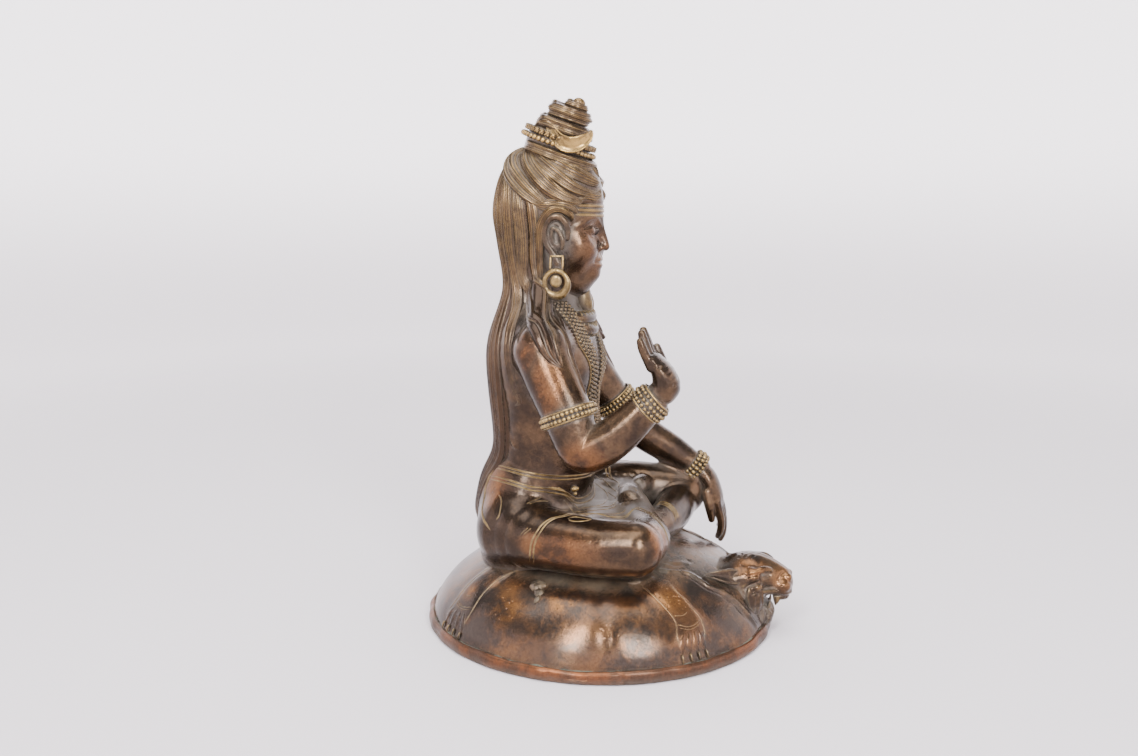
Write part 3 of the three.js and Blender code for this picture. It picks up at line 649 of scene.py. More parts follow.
def hair_core(wax):
    """The mass that the locks lie on."""
    under = 0.8
    wax.roll([[x, y, z, max(w - under, 1), max(d - under, 1)] for x, y, z, w, d in FALL], 1, steps=4)
    wax.ball(CROWN_AT, CROWN_SIZE - under, 1)
    for side in BOTH:
        wax.roll(on_side(side, TUFT), 2, steps=4)


def hair_bed():
    """Body and hair in one, for locks to be laid on."""
    bed = Wax([-72, -8, 42], [72, 74, 258], 1.1)
    bed.roll(TRUNK[2:], 1)
    bed.roll(SHOULDERS, 7, across=DEEP)
    bed.roll(NECK, 2)
    bed.roll(SKULL, 1)
    bed.roll(RIGHT_ARM[:4], 2.5)
    bed.roll(LEFT_ARM[:4], 2.5)
    hair_core(bed)
    bed.soften(3)
    return bed


def lock(piece, bed, stations, lines, relief, bright=0.0, bend=26.0, sink=0.9, steps=9):
    """Lays a combed lock along stations [x, y, z, half width, height]."""
    line = eased(stations, steps)
    line[:, :3], out = bed.settle(line[:, :3], 0.0)
    for unused in range(4):
        line[1:-1, :3] = (line[:-2, :3] + 2 * line[1:-1, :3] + line[2:, :3]) / 4
        out[1:-1] = (out[:-2] + 2 * out[1:-1] + out[2:]) / 4
    out = unit(out)
    line[:, :3] -= out * sink
    combed(piece, line, out, lines, 1, relief, bright, bend=bend)


# Locks of the crown on one side: turn and rise in degrees, half width, height and count of lines
CROWN_LOCKS = [
    (8, [[176, 84, 3, 1.6], [150, 76, 5, 2], [118, 66, 6, 2.2], [84, 56, 6, 2.2], [50, 45, 5, 2],
         [26, 36, 3, 1.6], [12, 32, 1, 0.8]]),
    (8, [[118, 80, 2, 1.6], [84, 62, 4.4, 2.8], [56, 47, 4.8, 3], [34, 36, 4.2, 2.6], [16, 30, 2.8, 2.2],
         [4, 31, 0.8, 0.8]]),
    (8, [[126, 78, 3, 2.2], [100, 60, 4.6, 3.2], [76, 43, 5, 3.4], [60, 30, 4.6, 3.2], [46, 22.5, 3.6, 2.8],
         [30, 19, 2.6, 2.2], [16, 22, 1.4, 1.2], [8, 26, 0.5, 0.5]]),
    (9, [[160, 80, 3, 2], [128, 63, 5, 3.2], [98, 43, 5.8, 3.6], [80, 26, 5.6, 3.6], [66, 16.5, 4.4, 3.2],
         [52, 12, 3, 2.4], [41, 13, 1, 0.8]]),
    (9, [[174, 74, 3, 2], [160, 58, 5, 3.2], [134, 43, 6, 3.6], [111, 28, 5.8, 3.6], [96, 17, 4.8, 3.2],
         [86, 11, 3, 2.4], [79, 9.6, 1.2, 1]]),
    (5, [[94, 10, 1.2, 1.2], [84, 8, 3, 2.8], [71, 8.6, 3.2, 3], [59, 6.4, 2.8, 2.6], [49, 1, 1.4, 1.4]]),
    (4, [[47, 13, 1, 0.8], [36, 17.6, 2.2, 2], [24, 15.6, 2.2, 2], [13, 17.6, 1.9, 1.8], [7, 23, 1, 1]]),
]

# Strands of the back on one side: turn from the middle of the back, height, then half width and thickness
BACK_STRANDS = [
    (12, [[14, 250, 2.4, 1.4], [20, 240, 4.8, 2.4], [21, 226, 5.6, 2.6], [20, 208, 5.4, 2.6],
          [21, 190, 5, 2.4], [24, 174, 5.4, 2.4], [27, 152, 7.4, 2.6], [28, 128, 8, 2.6],
          [27, 104, 7.4, 2.6], [26, 80, 6.6, 2.6], [22, 62, 5, 2.2], [14, 49, 2, 1.2]]),
    (10, [[34, 246, 2, 1.4], [39, 236, 4.2, 2.4], [40, 222, 4.8, 2.6], [38, 206, 4.4, 2.6],
          [40, 190, 4.2, 2.4], [44, 174, 4.6, 2.4], [53, 154, 6.4, 2.6], [60, 132, 6.8, 2.6],
          [58, 108, 6.2, 2.4], [52, 84, 5.6, 2.4], [44, 66, 4.4, 2], [34, 52, 1.6, 1]]),
]


def crown(piece, bed):
    for side in (1, -1):
        for lines, stations in CROWN_LOCKS:
            s = np.array(stations, float)
            stations = np.column_stack([on_crown(side * s[:, 0], s[:, 1]), s[:, 2], s[:, 3] * 1.3])
            lock(piece, bed, stations, lines, 0.85, steps=8)
        for lines, stations in BACK_STRANDS:
            s = np.array(stations, float)
            stations = np.column_stack([on_fall(side * s[:, 0], s[:, 1]), s[:, 2:]])
            lock(piece, bed, stations, lines, 0.5, bend=30.0, steps=7)
        # The rolled strand that frames the ear
        ring = [[-18, 12, 216, 0.6, 0.6], [-22.4, 11, 220, 1.6, 1.8], [-25, 16, 223.2, 1.9, 2.2],
                [-26.2, 22, 221.6, 2, 2.3], [-26, 26.4, 214, 2, 2.2], [-24.6, 26.8, 204, 2, 2],
                [-23, 27, 192, 1.8, 1.8], [-22, 27.5, 182, 0.8, 1]]
        combed(piece, on_side(side, ring), [-side, -0.25, 0.1], 4, 8, 0.3)
    # The lock over the middle of the forehead, by its rise
    front = np.array([[82, 3, 1.6], [66, 4.2, 2.4], [50, 4, 2.4], [40, 2.8, 2], [33, 1, 0.8]], float)
    lock(piece, bed, np.column_stack([on_crown(0 * front[:, 0], front[:, 0]), front[:, 1:]]), 5, 0.8)
    # The strand down the middle of the back, by its height
    middle = np.array([[256, 2, 1.4], [246, 4, 2.2], [226, 5, 2.6], [200, 4.6, 2.6], [176, 5, 2.6],
                       [152, 6.6, 2.8], [125, 7, 2.8], [98, 6.4, 2.8], [74, 5.6, 2.6], [58, 4, 2.2],
                       [47, 1.4, 1.2]], float)
    lock(piece, bed, np.column_stack([on_fall(0 * middle[:, 0], middle[:, 0]), middle[:, 1:]]), 12, 0.5,
         bend=30.0, steps=7)


def shoulder_locks(piece, bed):
    """Locks from the parting over each shoulder, set out on the figure's right and mirrored."""

    def from_parting(places):
        return [[*on_fall(turn, z), half, high] for turn, z, half, high in places]

    hooked = from_parting([(46, 242, 1.6, 1.2), (55, 234, 3.8, 2.4), (58, 220, 4.4, 2.6),
                           (57, 205, 4.2, 2.6), (60, 189, 3.6, 2.4)])
    hooked += [[-26, 41, 177, 3.8, 2.6], [-33.6, 42, 168, 4.2, 2.6], [-38.4, 42, 158, 4, 2.4],
               [-39.8, 40.6, 147, 3.4, 2.2], [-39.2, 37.6, 137, 2.6, 1.8], [-38.4, 35, 130, 1.9, 1.5],
               [-39.4, 34.4, 125.5, 1.3, 1.2], [-36.6, 38.2, 122.8, 0.4, 0.4]]
    leaf_root = from_parting([(64, 238, 1.4, 1.2), (74, 230, 3.6, 2.2), (78, 216, 4.2, 2.4),
                              (77, 201, 4.2, 2.4), (76, 188, 3.2, 2.4)])
    leaf_root += [[-27, 32, 178, 3.6, 2.4], [-36, 28, 171.6, 4.4, 2.4], [-43, 24.4, 167, 4, 2],
                  [-47.4, 21.4, 163.4, 2, 1]]
    leaf = [[-33, 29.6, 174, 1.6, 1], [-40, 26, 169.4, 4.2, 2.2], [-46.4, 21.8, 164, 4.8, 2.8],
            [-51.6, 17.2, 157.4, 4.6, 2.8], [-54.6, 13, 151.6, 3, 2], [-55.8, 8.4, 147.6, 0.5, 0.5]]
    rope = from_parting([(84, 233, 1.2, 1.2), (94, 226, 3.2, 2.2), (97, 212, 3.6, 2.4),
                         (94, 196, 3.2, 2.4)])
    rope += [[-23.4, 27, 183, 2.4, 2.2], [-30, 24.6, 175.6, 2.2, 2], [-37.6, 22, 171.2, 1.9, 2],
             [-43.8, 18, 167, 1.9, 2], [-47.6, 13.6, 162.4, 1.9, 2], [-51, 12, 157.4, 1.7, 1.8],
             [-53.2, 9.6, 152.4, 1.4, 1.5], [-55, 7.4, 148.2, 0.4, 0.5]]
    arm = [[-22, 25, 190, 1, 1], [-25, 22.6, 181, 2, 1.8], [-31, 18.6, 173, 2.4, 1.9],
           [-36.4, 13.6, 167, 2.4, 1.9], [-41.2, 7.4, 160, 2.2, 1.8], [-45.4, 2.4, 151.4, 1.9, 1.7],
           [-47.8, 0.2, 143.6, 1.6, 1.5], [-50.4, -2.4, 137, 1.3, 1.2], [-51.6, -4, 132, 0.4, 0.4]]
    chest = [[-20, 21, 184, 0.8, 0.8], [-24, 17.6, 176, 1.7, 1.5], [-30, 12.4, 168, 1.8, 1.5],
             [-36.6, 8.6, 162.4, 1.7, 1.4], [-41.8, 4.2, 156.4, 1.4, 1.2], [-45, 1.2, 148.6, 0.4, 0.4]]
    back = [[-24, 33, 184, 1, 1], [-30, 33, 176, 2.6, 1.9], [-38, 31.6, 168.4, 2.8, 1.9],
            [-44.6, 30, 161, 2, 1.5], [-48.4, 28, 153.4, 0.5, 0.5]]
    for side in (1, -1):
        for stations, lines, relief, bright in (
                (hooked, 9, 0.5, 0.0), (leaf_root, 9, 0.5, 0.0), (leaf, 4, 0.9, -0.5),
                (rope, 6, 0.45, -0.1), (arm, 5, 0.4, -0.1), (chest, 4, 0.4, -0.2), (back, 7, 0.4, -0.2)):
            lock(piece, bed, on_side(side, stations), lines, relief, bright, bend=16.0, sink=0.5, steps=7)


# Topknot

KNOT_LEAN = math.radians(20)
KNOT_AXIS = np.array([0, -math.sin(KNOT_LEAN), math.cos(KNOT_LEAN)])
KNOT_AT = np.array([0, 24, 252.5])
KNOT_OVAL = np.array([0.92, 1.0])


def knot_point(height):
    """Centre of the topknot at a height along its leaning axis."""
    drift = max(0.0, height - 21) * 0.5
    return KNOT_AT + KNOT_AXIS * height + np.array([0, -math.cos(KNOT_LEAN), -math.sin(KNOT_LEAN)]) * drift


def coil(piece, height, radius, half, proud, lines=8, relief=0.4, tilt=0.0, rise=0.0, forward=0.0):
    """One turn of combed hair round the topknot. Tilt slopes it further down to the front."""
    axis = np.array([0, -math.sin(KNOT_LEAN + tilt), math.cos(KNOT_LEAN + tilt)])
    line, out = ring_line(knot_point(height) - DEEP * forward, axis, radius * KNOT_OVAL, 96, 470, 96)
    run = np.linspace(0, 1, len(line))[:, None]
    line = line + axis * rise * (run - 0.5)
    taper = np.minimum(1, 0.3 + 8 * np.minimum(run, 1 - run)[:, 0])
    combed(piece, np.column_stack([line, half * np.ones(len(line)), proud * taper]), out, lines, 1, relief)


def topknot():
    piece = Piece()
    core = []
    for height, radius in ((-10, 13), (-8, 15), (-4, 17), (1, 17), (4, 17.4), (9, 16.2), (10.5, 13.4),
                           (15, 12), (17.5, 10), (21, 9), (23, 6), (24, 4), (27, 2)):
        core.append(ring_line(knot_point(height), KNOT_AXIS, radius * KNOT_OVAL, 0, 352, 45)[0])
    # The core between and under the coils is painted in shade
    piece.add(*skinned(core), shade_and_stain=0.7)
    # Combed band at the foot with a lower roll under it in front
    coil(piece, -2.2, 17.2, 3.7, 3.4, relief=0.5, rise=1.0, forward=2.6)
    coil(piece, -7.6, 15.6, 2.9, 3.2, lines=6, relief=0.45, tilt=0.06, forward=3.2)
    # Two rows of beads: round ones below, rosettes above
    for height, radius, size, bright in ((4.0, 19.5, 1.4, 0.75), (7.6, 18.2, 1.6, 0.0)):
        count = int(2 * math.pi * radius / (size * 1.94))
        line, out = ring_line(knot_point(height), KNOT_AXIS, radius * KNOT_OVAL, 0,
                              360 - 360 / count, count)
        along = np.cross(KNOT_AXIS, out)
        beads(piece, line, along, out, [size, size, size], bright)
        if bright == 0:
            for a, b in ((0.8, 0.8), (-0.8, 0.8), (0.8, -0.8), (-0.8, -0.8)):
                beads(piece, line + out * size * 0.55 + along * a + KNOT_AXIS * b, along, out,
                      [0.6, 0.6, 0.6], bright)
    # Coils and knob
    coil(piece, 12.6, 12.0, 4.2, 3.8, rise=1.0)
    coil(piece, 20.6, 8.6, 3.8, 4.0, relief=0.5, rise=1.6)
    coil(piece, 25.4, 3.6, 2.2, 3.2, lines=5, rise=1.2)
    tip = knot_point(27.4) - [0, 0, 0.1]
    beads(piece, tip[None], ACROSS[None], KNOT_AXIS[None], [3.4, 3.2, 2.7], -0.2, bead_shape(16, 10))
    # A lock that rises behind the beads
    back = [[-2, 35, 261, 1, 0.8], [-5, 32.4, 264.6, 2.6, 2], [-8, 29.4, 267.4, 3.2, 2.6],
            [-10.4, 25.6, 267.6, 3, 2.6], [-12, 20, 265.6, 1.4, 1.4]]
    combed(piece, back, [-0.35, 0.6, 0.6], 5, 8, 0.35)
    # Crescent: a bright blade with a raised rim, its points against the coils
    moon = eased([[-9.6, 24.4, 270, 0.5, 0.8], [-12.8, 23.6, 264.6, 2.2, 1.2], [-15.8, 20, 259.2, 3.2, 1.5],
                  [-18, 15.2, 255.8, 4, 1.6], [-17.9, 10.4, 255.2, 4, 1.6], [-15.8, 6.2, 257, 3.3, 1.5],
                  [-12, 3.9, 259.6, 2, 1.2], [-8.6, 3.4, 262.6, 0.5, 0.8]], 9)
    facing = unit((moon[:, :3] - knot_point(10)) * [1, 0.55, 0.2])
    blade = [np.array([1, 0.92, 0.8, 0.7, 0.3, -0.2, -0.66, -0.8, -0.92, -1, -0.8, 0, 0.8]),
             np.array([0, 0.85, 0.85, 0.4, 0.5, 0.5, 0.4, 1.0, 1.0, 0, -1, -1.2, -1])]
    piece.add(*tube(moon, facing, blade), bright=0.8)
    return piece


# Ornaments, cords and hems

def bead_string(piece, path, wax, size, bright):
    """Beads strung along a path on the wax, each sunk by half and close to the next."""
    line, out = wax.settle(spaced(eased(path, 12), size * 2.15), size * 0.55)
    along = unit(np.gradient(line, axis=0))
    beads(piece, line, along, out, [size, size * 0.96, size * 0.9], bright)


def bangle(piece, centre, axis, radii, rows, shape=BEAD, wide=ACROSS):
    """Rows of beads round a limb, each [place along the axis, bead radius, extra radius, brightness]."""
    axis = unit(np.array(axis, float))
    for place, size, extra, bright in rows:
        middle = np.array(centre, float) + axis * place
        if size < 0.7:
            line, out = ring_line(middle, axis, [radii[0] + extra, radii[1] + extra], 0, 355, 72, wide)
            cord(piece, np.vstack([line, line[:1]]), size, out[0], 1, bright, steps=1, ends=1)
            continue
        count = int(math.pi * (radii[0] + radii[1] + 2 * extra) / (size * 1.9))
        line, out = ring_line(middle, axis, [radii[0] + extra, radii[1] + extra], 0, 360 - 360 / count,
                              count, wide)
        beads(piece, line, np.cross(axis, out), out, [size, size, size * 0.95], bright, shape)


def ornaments(wax):
    piece = Piece()
    # Strings of beads, five abreast from the neck to the breastbone
    outer = [[-15, 16, 174], [-13.4, 6, 161], [-7, -0.4, 147], [-4.4, -0.4, 130], [0, -0.2, 114]]
    inner = [[-23, 22, 174], [-26, 9, 164], [-18, 2, 143], [-11.6, 1.4, 120], [0, 1, 101]]
    for share in (0.0, 0.25, 0.5, 0.75, 1.0):
        half = (np.array(outer) * (1 - share) + np.array(inner) * share).tolist()
        bead_string(piece, mirrored(half), wax, 1.12, -0.3)
    edge = [[-20, 22, 176], [-25, 8.6, 160], [-19, 2, 142], [-12.6, 1.8, 118], [0, 1, 100.4]]
    cord(piece, mirrored(edge), 0.55, wax=wax, lift=0.2, steps=12)
    # The snake: two coils round the throat and a spread hood under the chin
    for path in ([[16, 24, 170, 2.8], [15, 12, 168, 3.4], [3, 6.6, 166, 4], [-12, 9.6, 166.4, 3.8],
                  [-17.4, 20, 170, 3]],
                 [[15, 20, 163, 2.6], [10.6, 8.6, 161.4, 3.4], [0, 5, 159.4, 3.9], [-11, 8, 161.6, 3.4],
                  [-16, 20, 164, 2.6]]):
        line = eased([[x, y, z, r, r * 0.9] for x, y, z, r in path], 9)
        piece.add(*tube(line, UP, oval(14)), bright=-0.4)
        for k in range(3, len(line) - 3, 2):
            rings, out = ring_line(line[k, :3], np.gradient(line[:, :3], axis=0)[k],
                                   line[k, 3:5] * 1.01, 0, 350, 16, UP)
            cord(piece, np.vstack([rings, rings[:1]]), 0.28, out[0], 1, 0.0, steps=1, sides=5, ends=1)
    hood = eased([[3, 10, 163, 2.4, 4], [3, 9.4, 168.4, 3.8, 4.4], [3, 9.4, 173, 5.4, 4.6],
                  [3, 10.4, 178, 5, 4.6], [3, 11.4, 183.6, 3.2, 4.4]], 6)
    piece.add(*tube(hood, -DEEP, oval(18)))
    for x in (1.6, 6.6):
        cord(piece, [[x + 1.2, 5.8, 167], [x, 5, 173], [x + 0.8, 6.6, 178]], 0.4, -DEEP)
    # Armlets and bracelets
    square = bead_shape(4, 4)
    bangle(piece, [-53.2, 5, 123], [0.14, 0.36, 0.92], [12.4, 13],
           [[-2.7, 0.5, 0.6, 0.1], [-1.3, 1.2, 0.9, 0.45], [1.3, 1.2, 0.9, 0.45], [2.8, 0.5, 0.6, 0.1]])
    bangle(piece, [49.4, 1.6, 111.4], [-0.19, 0.55, 0.81], [11.6, 11.9],
           [[-2.7, 0.5, 0.6, 0.1], [-1.3, 1.2, 0.9, 0.3], [1.3, 1.2, 0.9, 0.3], [2.8, 0.5, 0.6, 0.1]])
    bangle(piece, [-51.5, -35.2, 130.8], [0.1, -0.74, 0.66], [7.9, 8.1],
           [[-4.2, 0.55, 0.5, 0.3], [-2.5, 1.2, 0.9, 0.3], [0, 1.3, 1.1, 0.4], [2.5, 1.2, 0.7, 0.3],
            [4.2, 0.55, 0.3, 0.3]], square)
    bangle(piece, [59.7, -46, 72.2], [0.12, -0.76, -0.64], [8, 7.8],
           [[-2.6, 1.3, 0.6, 0.2], [0, 1.5, 1.0, 0.3], [2.6, 1.3, 0.6, 0.2]])
    # Hoops through the lobes, thick below, each with a disc, and the square holder above
    for side in BOTH:
        line, out = ring_line([side * 27.6, 17.4, 186], [side, 0, 0], [6.3, 6.0], 0, 355, 60, UP)
        thick = 1.3 + 0.95 * np.clip(-np.cos(np.linspace(-0.5, 2 * math.pi - 0.5, 60)), 0, 1)
        hoop = np.column_stack([line, thick, thick])
        piece.add(*tube(np.vstack([hoop, hoop[:1]]), [side, 0, 0.001], oval(12)), bright=0.35)
        beads(piece, np.array(on_side(side, [[26.6, 17.8, 187]])), np.array([[0.0, 0, 1]]),
              np.array(on_side(side, [[1.0, 0, 0]])), [3.2, 3.5, 1.2], 0.9, bead_shape(14, 8))
        for dy in (-3.2, 3.2):
            upright = on_side(side, [[26, 17.4 + dy, 200], [27.2, 17.4 + dy, 193]])
            cord(piece, upright, 0.5, [side, 0, 0], 1, 0.3, ends=0.8)
        for z in (199.6, 192.8):
            cord(piece, on_side(side, [[26.2, 14, z], [26.6, 20.8, z]]), 0.5, [side, 0, 0], 1, 0.3,
                 ends=0.8)
    # Girdle: two double lines, a boss, and a hatched end
    high = [[-26, 51, 88.6], [-32.3, 39.5, 88.5], [-35, 29.6, 87.8], [-31.8, 20, 86.2], [-24, 9, 84.4],
            [-12, 4, 83.2], [0, 2.6, 82.6]]
    low = [[-26, 52, 81.8], [-34, 39.2, 82.2], [-37, 29.2, 81.1], [-34, 20, 79.6], [-28, 12.6, 76.6],
           [-19, 7, 70.6], [0, 3, 69]]
    for path in (high, low):
        for drop in (0.0, -1.9):
            half = [[x, y, z + drop] for x, y, z in path]
            cord(piece, mirrored(half), 0.55, wax=wax, bright=-0.1, steps=9)
    for side in BOTH:
        at, out = wax.settle(on_side(side, [[22.8, 9.4, 77.2], [20.8, 8.4, 77.0], [21.8, 8.8, 74.4]]), 0.6)
        beads(piece, at, unit(np.cross(out, UP)), out, [[1.9, 1.9, 1.7], [1.2, 1.2, 1.2], [1.1, 1.1, 1.1]],
              0.6)
        for k in range(4):
            hatch = [[34 - k, 20 - k * 1.6, 80.6 - k * 0.3], [30 - k, 14 - k, 77.4 - k * 0.6],
                     [24 - k, 10 - k * 0.4, 72.6 - k * 0.8]]
            cord(piece, on_side(side, hatch), 0.34, wax=wax, bright=0.2)
    # Hems: a double ridge from the lap round each thigh to the seat, with a loop in front of it
    hem = [[-28.2, -1.5, 66], [-33.4, 2.2, 67], [-43, 5.2, 69.6], [-51, 8, 70.6], [-53.4, 13.6, 69.3],
           [-56, 17.2, 67.2], [-59, 19.9, 64], [-60, 22, 58.9], [-60, 23, 53], [-58, 24, 48]]
    lap = [[-28.2, -1.5, 66], [-26, -10, 64.4], [-19.1, -16.4, 63.4], [-13.4, -21.6, 64.6],
           [-20.1, -26.9, 66.4], [-28, -32.4, 66.6], [-37.8, -36.8, 65.6], [-42.6, -41, 61.9],
           [-42, -43, 55.3]]
    loop = [[-54.1, 5, 69.9], [-52.6, 1.6, 71.1], [-53.6, -2.6, 71.8], [-55.2, -6.6, 71.2], [-57, -3.6, 70],
            [-56.6, 1.9, 69.2], [-54.1, 5, 69.9]]
    for side in BOTH:
        for path, shifts in ((hem, (0, 2.1)), (lap, (0, 1.9) if side > 0 else ()), (loop, (0,))):
            for shift in shifts:
                moved = [[side * x, y - shift, z - shift * 0.3] for x, y, z in path]
                cord(piece, moved, 0.5, wax=wax, lift=-0.05, bright=-0.05, steps=8)
    far_hem = [[15.3, -29.1, 63.3], [16.8, -31, 59.4], [14, -36, 56], [10, -39, 52]]
    for shift in (0, 2.2, 4.2):
        cord(piece, [[x + shift, y, z] for x, y, z in far_hem], 0.5, wax=wax, lift=-0.1, bright=-0.1)
    # Fine folds of the tight cloth
    for fold in ([[-41.8, 30, 72.2], [-36.6, 26.7, 73.5], [-34.7, 24.3, 75.5]],
                 [[-41.8, 28.8, 71.6], [-35.6, 24.7, 72.2], [-33.7, 21.6, 72.2]],
                 [[-35.6, 44.6, 73.8], [-39.4, 43, 71.4], [-46.3, 43.3, 67.7], [-46.7, 44.3, 64.8]],
                 [[-56, 28.5, 60.9], [-56.4, 24.9, 65.2]], [[-56.8, 26.5, 61.3], [-57, 23.1, 65.5]],
                 [[-47.2, 13.1, 71.8], [-36, 14, 70], [-27, 11, 66.5]],
                 [[-31, 9, 73], [-24, 0, 67], [-14, -8, 65], [-4, -11, 64]],
                 [[-33, 5, 72], [-27, -5, 67], [-19, -13, 64.6], [-8, -17, 63.6]],
                 [[-27, 11, 73], [-19, 4, 67], [-9, -3, 65], [2, -4, 65]],
                 [[-16, -1, 65], [-8, -8, 64], [2, -9, 64]]):
        for side in BOTH:
            cord(piece, on_side(-side, fold), 0.42, wax=wax, lift=-0.1, bright=-0.2)
    # The incised edge of the long hair over the hip
    for side in BOTH:
        for drop in (0, 1.6):
            edge = [[-28.1, 48.7 + drop, 99.2], [-26.6, 51.4 + drop, 90.9], [-26.2, 53 + drop, 82.4],
                    [-27.4, 55.6 + drop * 0.6, 75.5], [-33, 54 + drop * 0.6, 67.3],
                    [-41.4, 51.3 + drop * 0.4, 63.3], [-46.6, 46.8, 59.3]]
            cord(piece, on_side(side, edge), 0.5, wax=wax, bright=-0.15)
    return piece


# Mound and tiger skin

FOOT_LONG, FOOT_WIDE, FOOT_Z, MOUND_TOP = 92.3, 88.3, 2.3, 47.0


def on_mound(turn, reach):
    """The mound's surface: turn in degrees from the front towards +X, reach from its crown to its foot."""
    turn, reach = np.radians(np.asarray(turn, float)), np.asarray(reach, float)
    rise = np.clip(1 - reach**3, 0, 1) ** 0.6
    lobe = 1 + 0.03 * np.cos(5 * turn + 0.6) * np.sin(math.pi * reach)
    front = 0.95 + 0.05 * np.cos(turn)
    crown = (MOUND_TOP - FOOT_Z) * (front * reach + (1 - reach))
    return np.stack([np.sin(turn) * FOOT_WIDE * reach * lobe, -np.cos(turn) * FOOT_LONG * reach * lobe,
                     FOOT_Z + crown * rise], -1)


# Edges of the skin's legs as (turn, reach) on the figure's right, the front edge of each leg first
FORELEG = ([(-45, 0.66), (-45, 0.753), (-43, 0.814), (-42, 0.860), (-41, 0.892), (-41.4, 0.93),
            (-43, 0.962)],
           [(-60, 0.65), (-56, 0.748), (-53, 0.828), (-51.5, 0.885), (-52.6, 0.925), (-53, 0.958)])
HINDLEG = ([(-116, 0.55), (-124, 0.62), (-129, 0.72), (-130.5, 0.81), (-130, 0.898), (-130, 0.958)],
           [(-140, 0.57), (-141.5, 0.69), (-142, 0.80), (-141.4, 0.896), (-142.4, 0.958)])
SKIN_EDGE = [(-44, 0.60), (-36, 0.645), (-31, 0.675), (-29, 0.723), (-27, 0.782), (-23, 0.827),
             (-20, 0.883), (-18, 0.935), (-14, 0.985)]
# Stains and patches: turn, reach, size in mm, share
STAINS = [(-112, 0.755, 5.5, 0.9), (-134, 0.635, 7, 0.6), (-100.5, 0.604, 3, 1.0), (-108, 0.92, 7, 0.9),
          (-97, 0.965, 9, 0.8), (-84, 0.95, 8, 0.6), (-30, 0.92, 12, 0.6), (-60, 0.95, 6, 0.4),
          (150, 0.8, 8, 0.5), (80, 0.85, 9, 0.5), (-2, 0.8, 8, 0.4)]
RUSTY = [(-115, 0.86, 9, 0.9), (-94, 0.76, 8, 0.7), (-76, 0.88, 6, 0.6), (-49, 0.79, 9, 0.8),
         (-120, 0.78, 8, 0.6), (-66, 0.80, 8, 0.4), (60, 0.8, 11, 0.7), (120, 0.85, 11, 0.8),
         (170, 0.85, 9, 0.7), (-136, 0.85, 5, 0.6)]
DUSTY = [(-100, 0.58, 13, 0.6), (-80, 0.60, 11, 0.6), (-60, 0.60, 11, 0.7), (-40, 0.62, 13, 0.6),
         (-20, 0.6, 16, 0.6), (0, 0.62, 16, 0.6), (30, 0.62, 15, 0.6), (60, 0.60, 13, 0.6),
         (90, 0.58, 13, 0.6), (-90, 0.985, 7, 0.4), (-20, 0.9, 14, 0.3), (20, 0.9, 14, 0.3),
         (180, 0.58, 14, 0.4)]


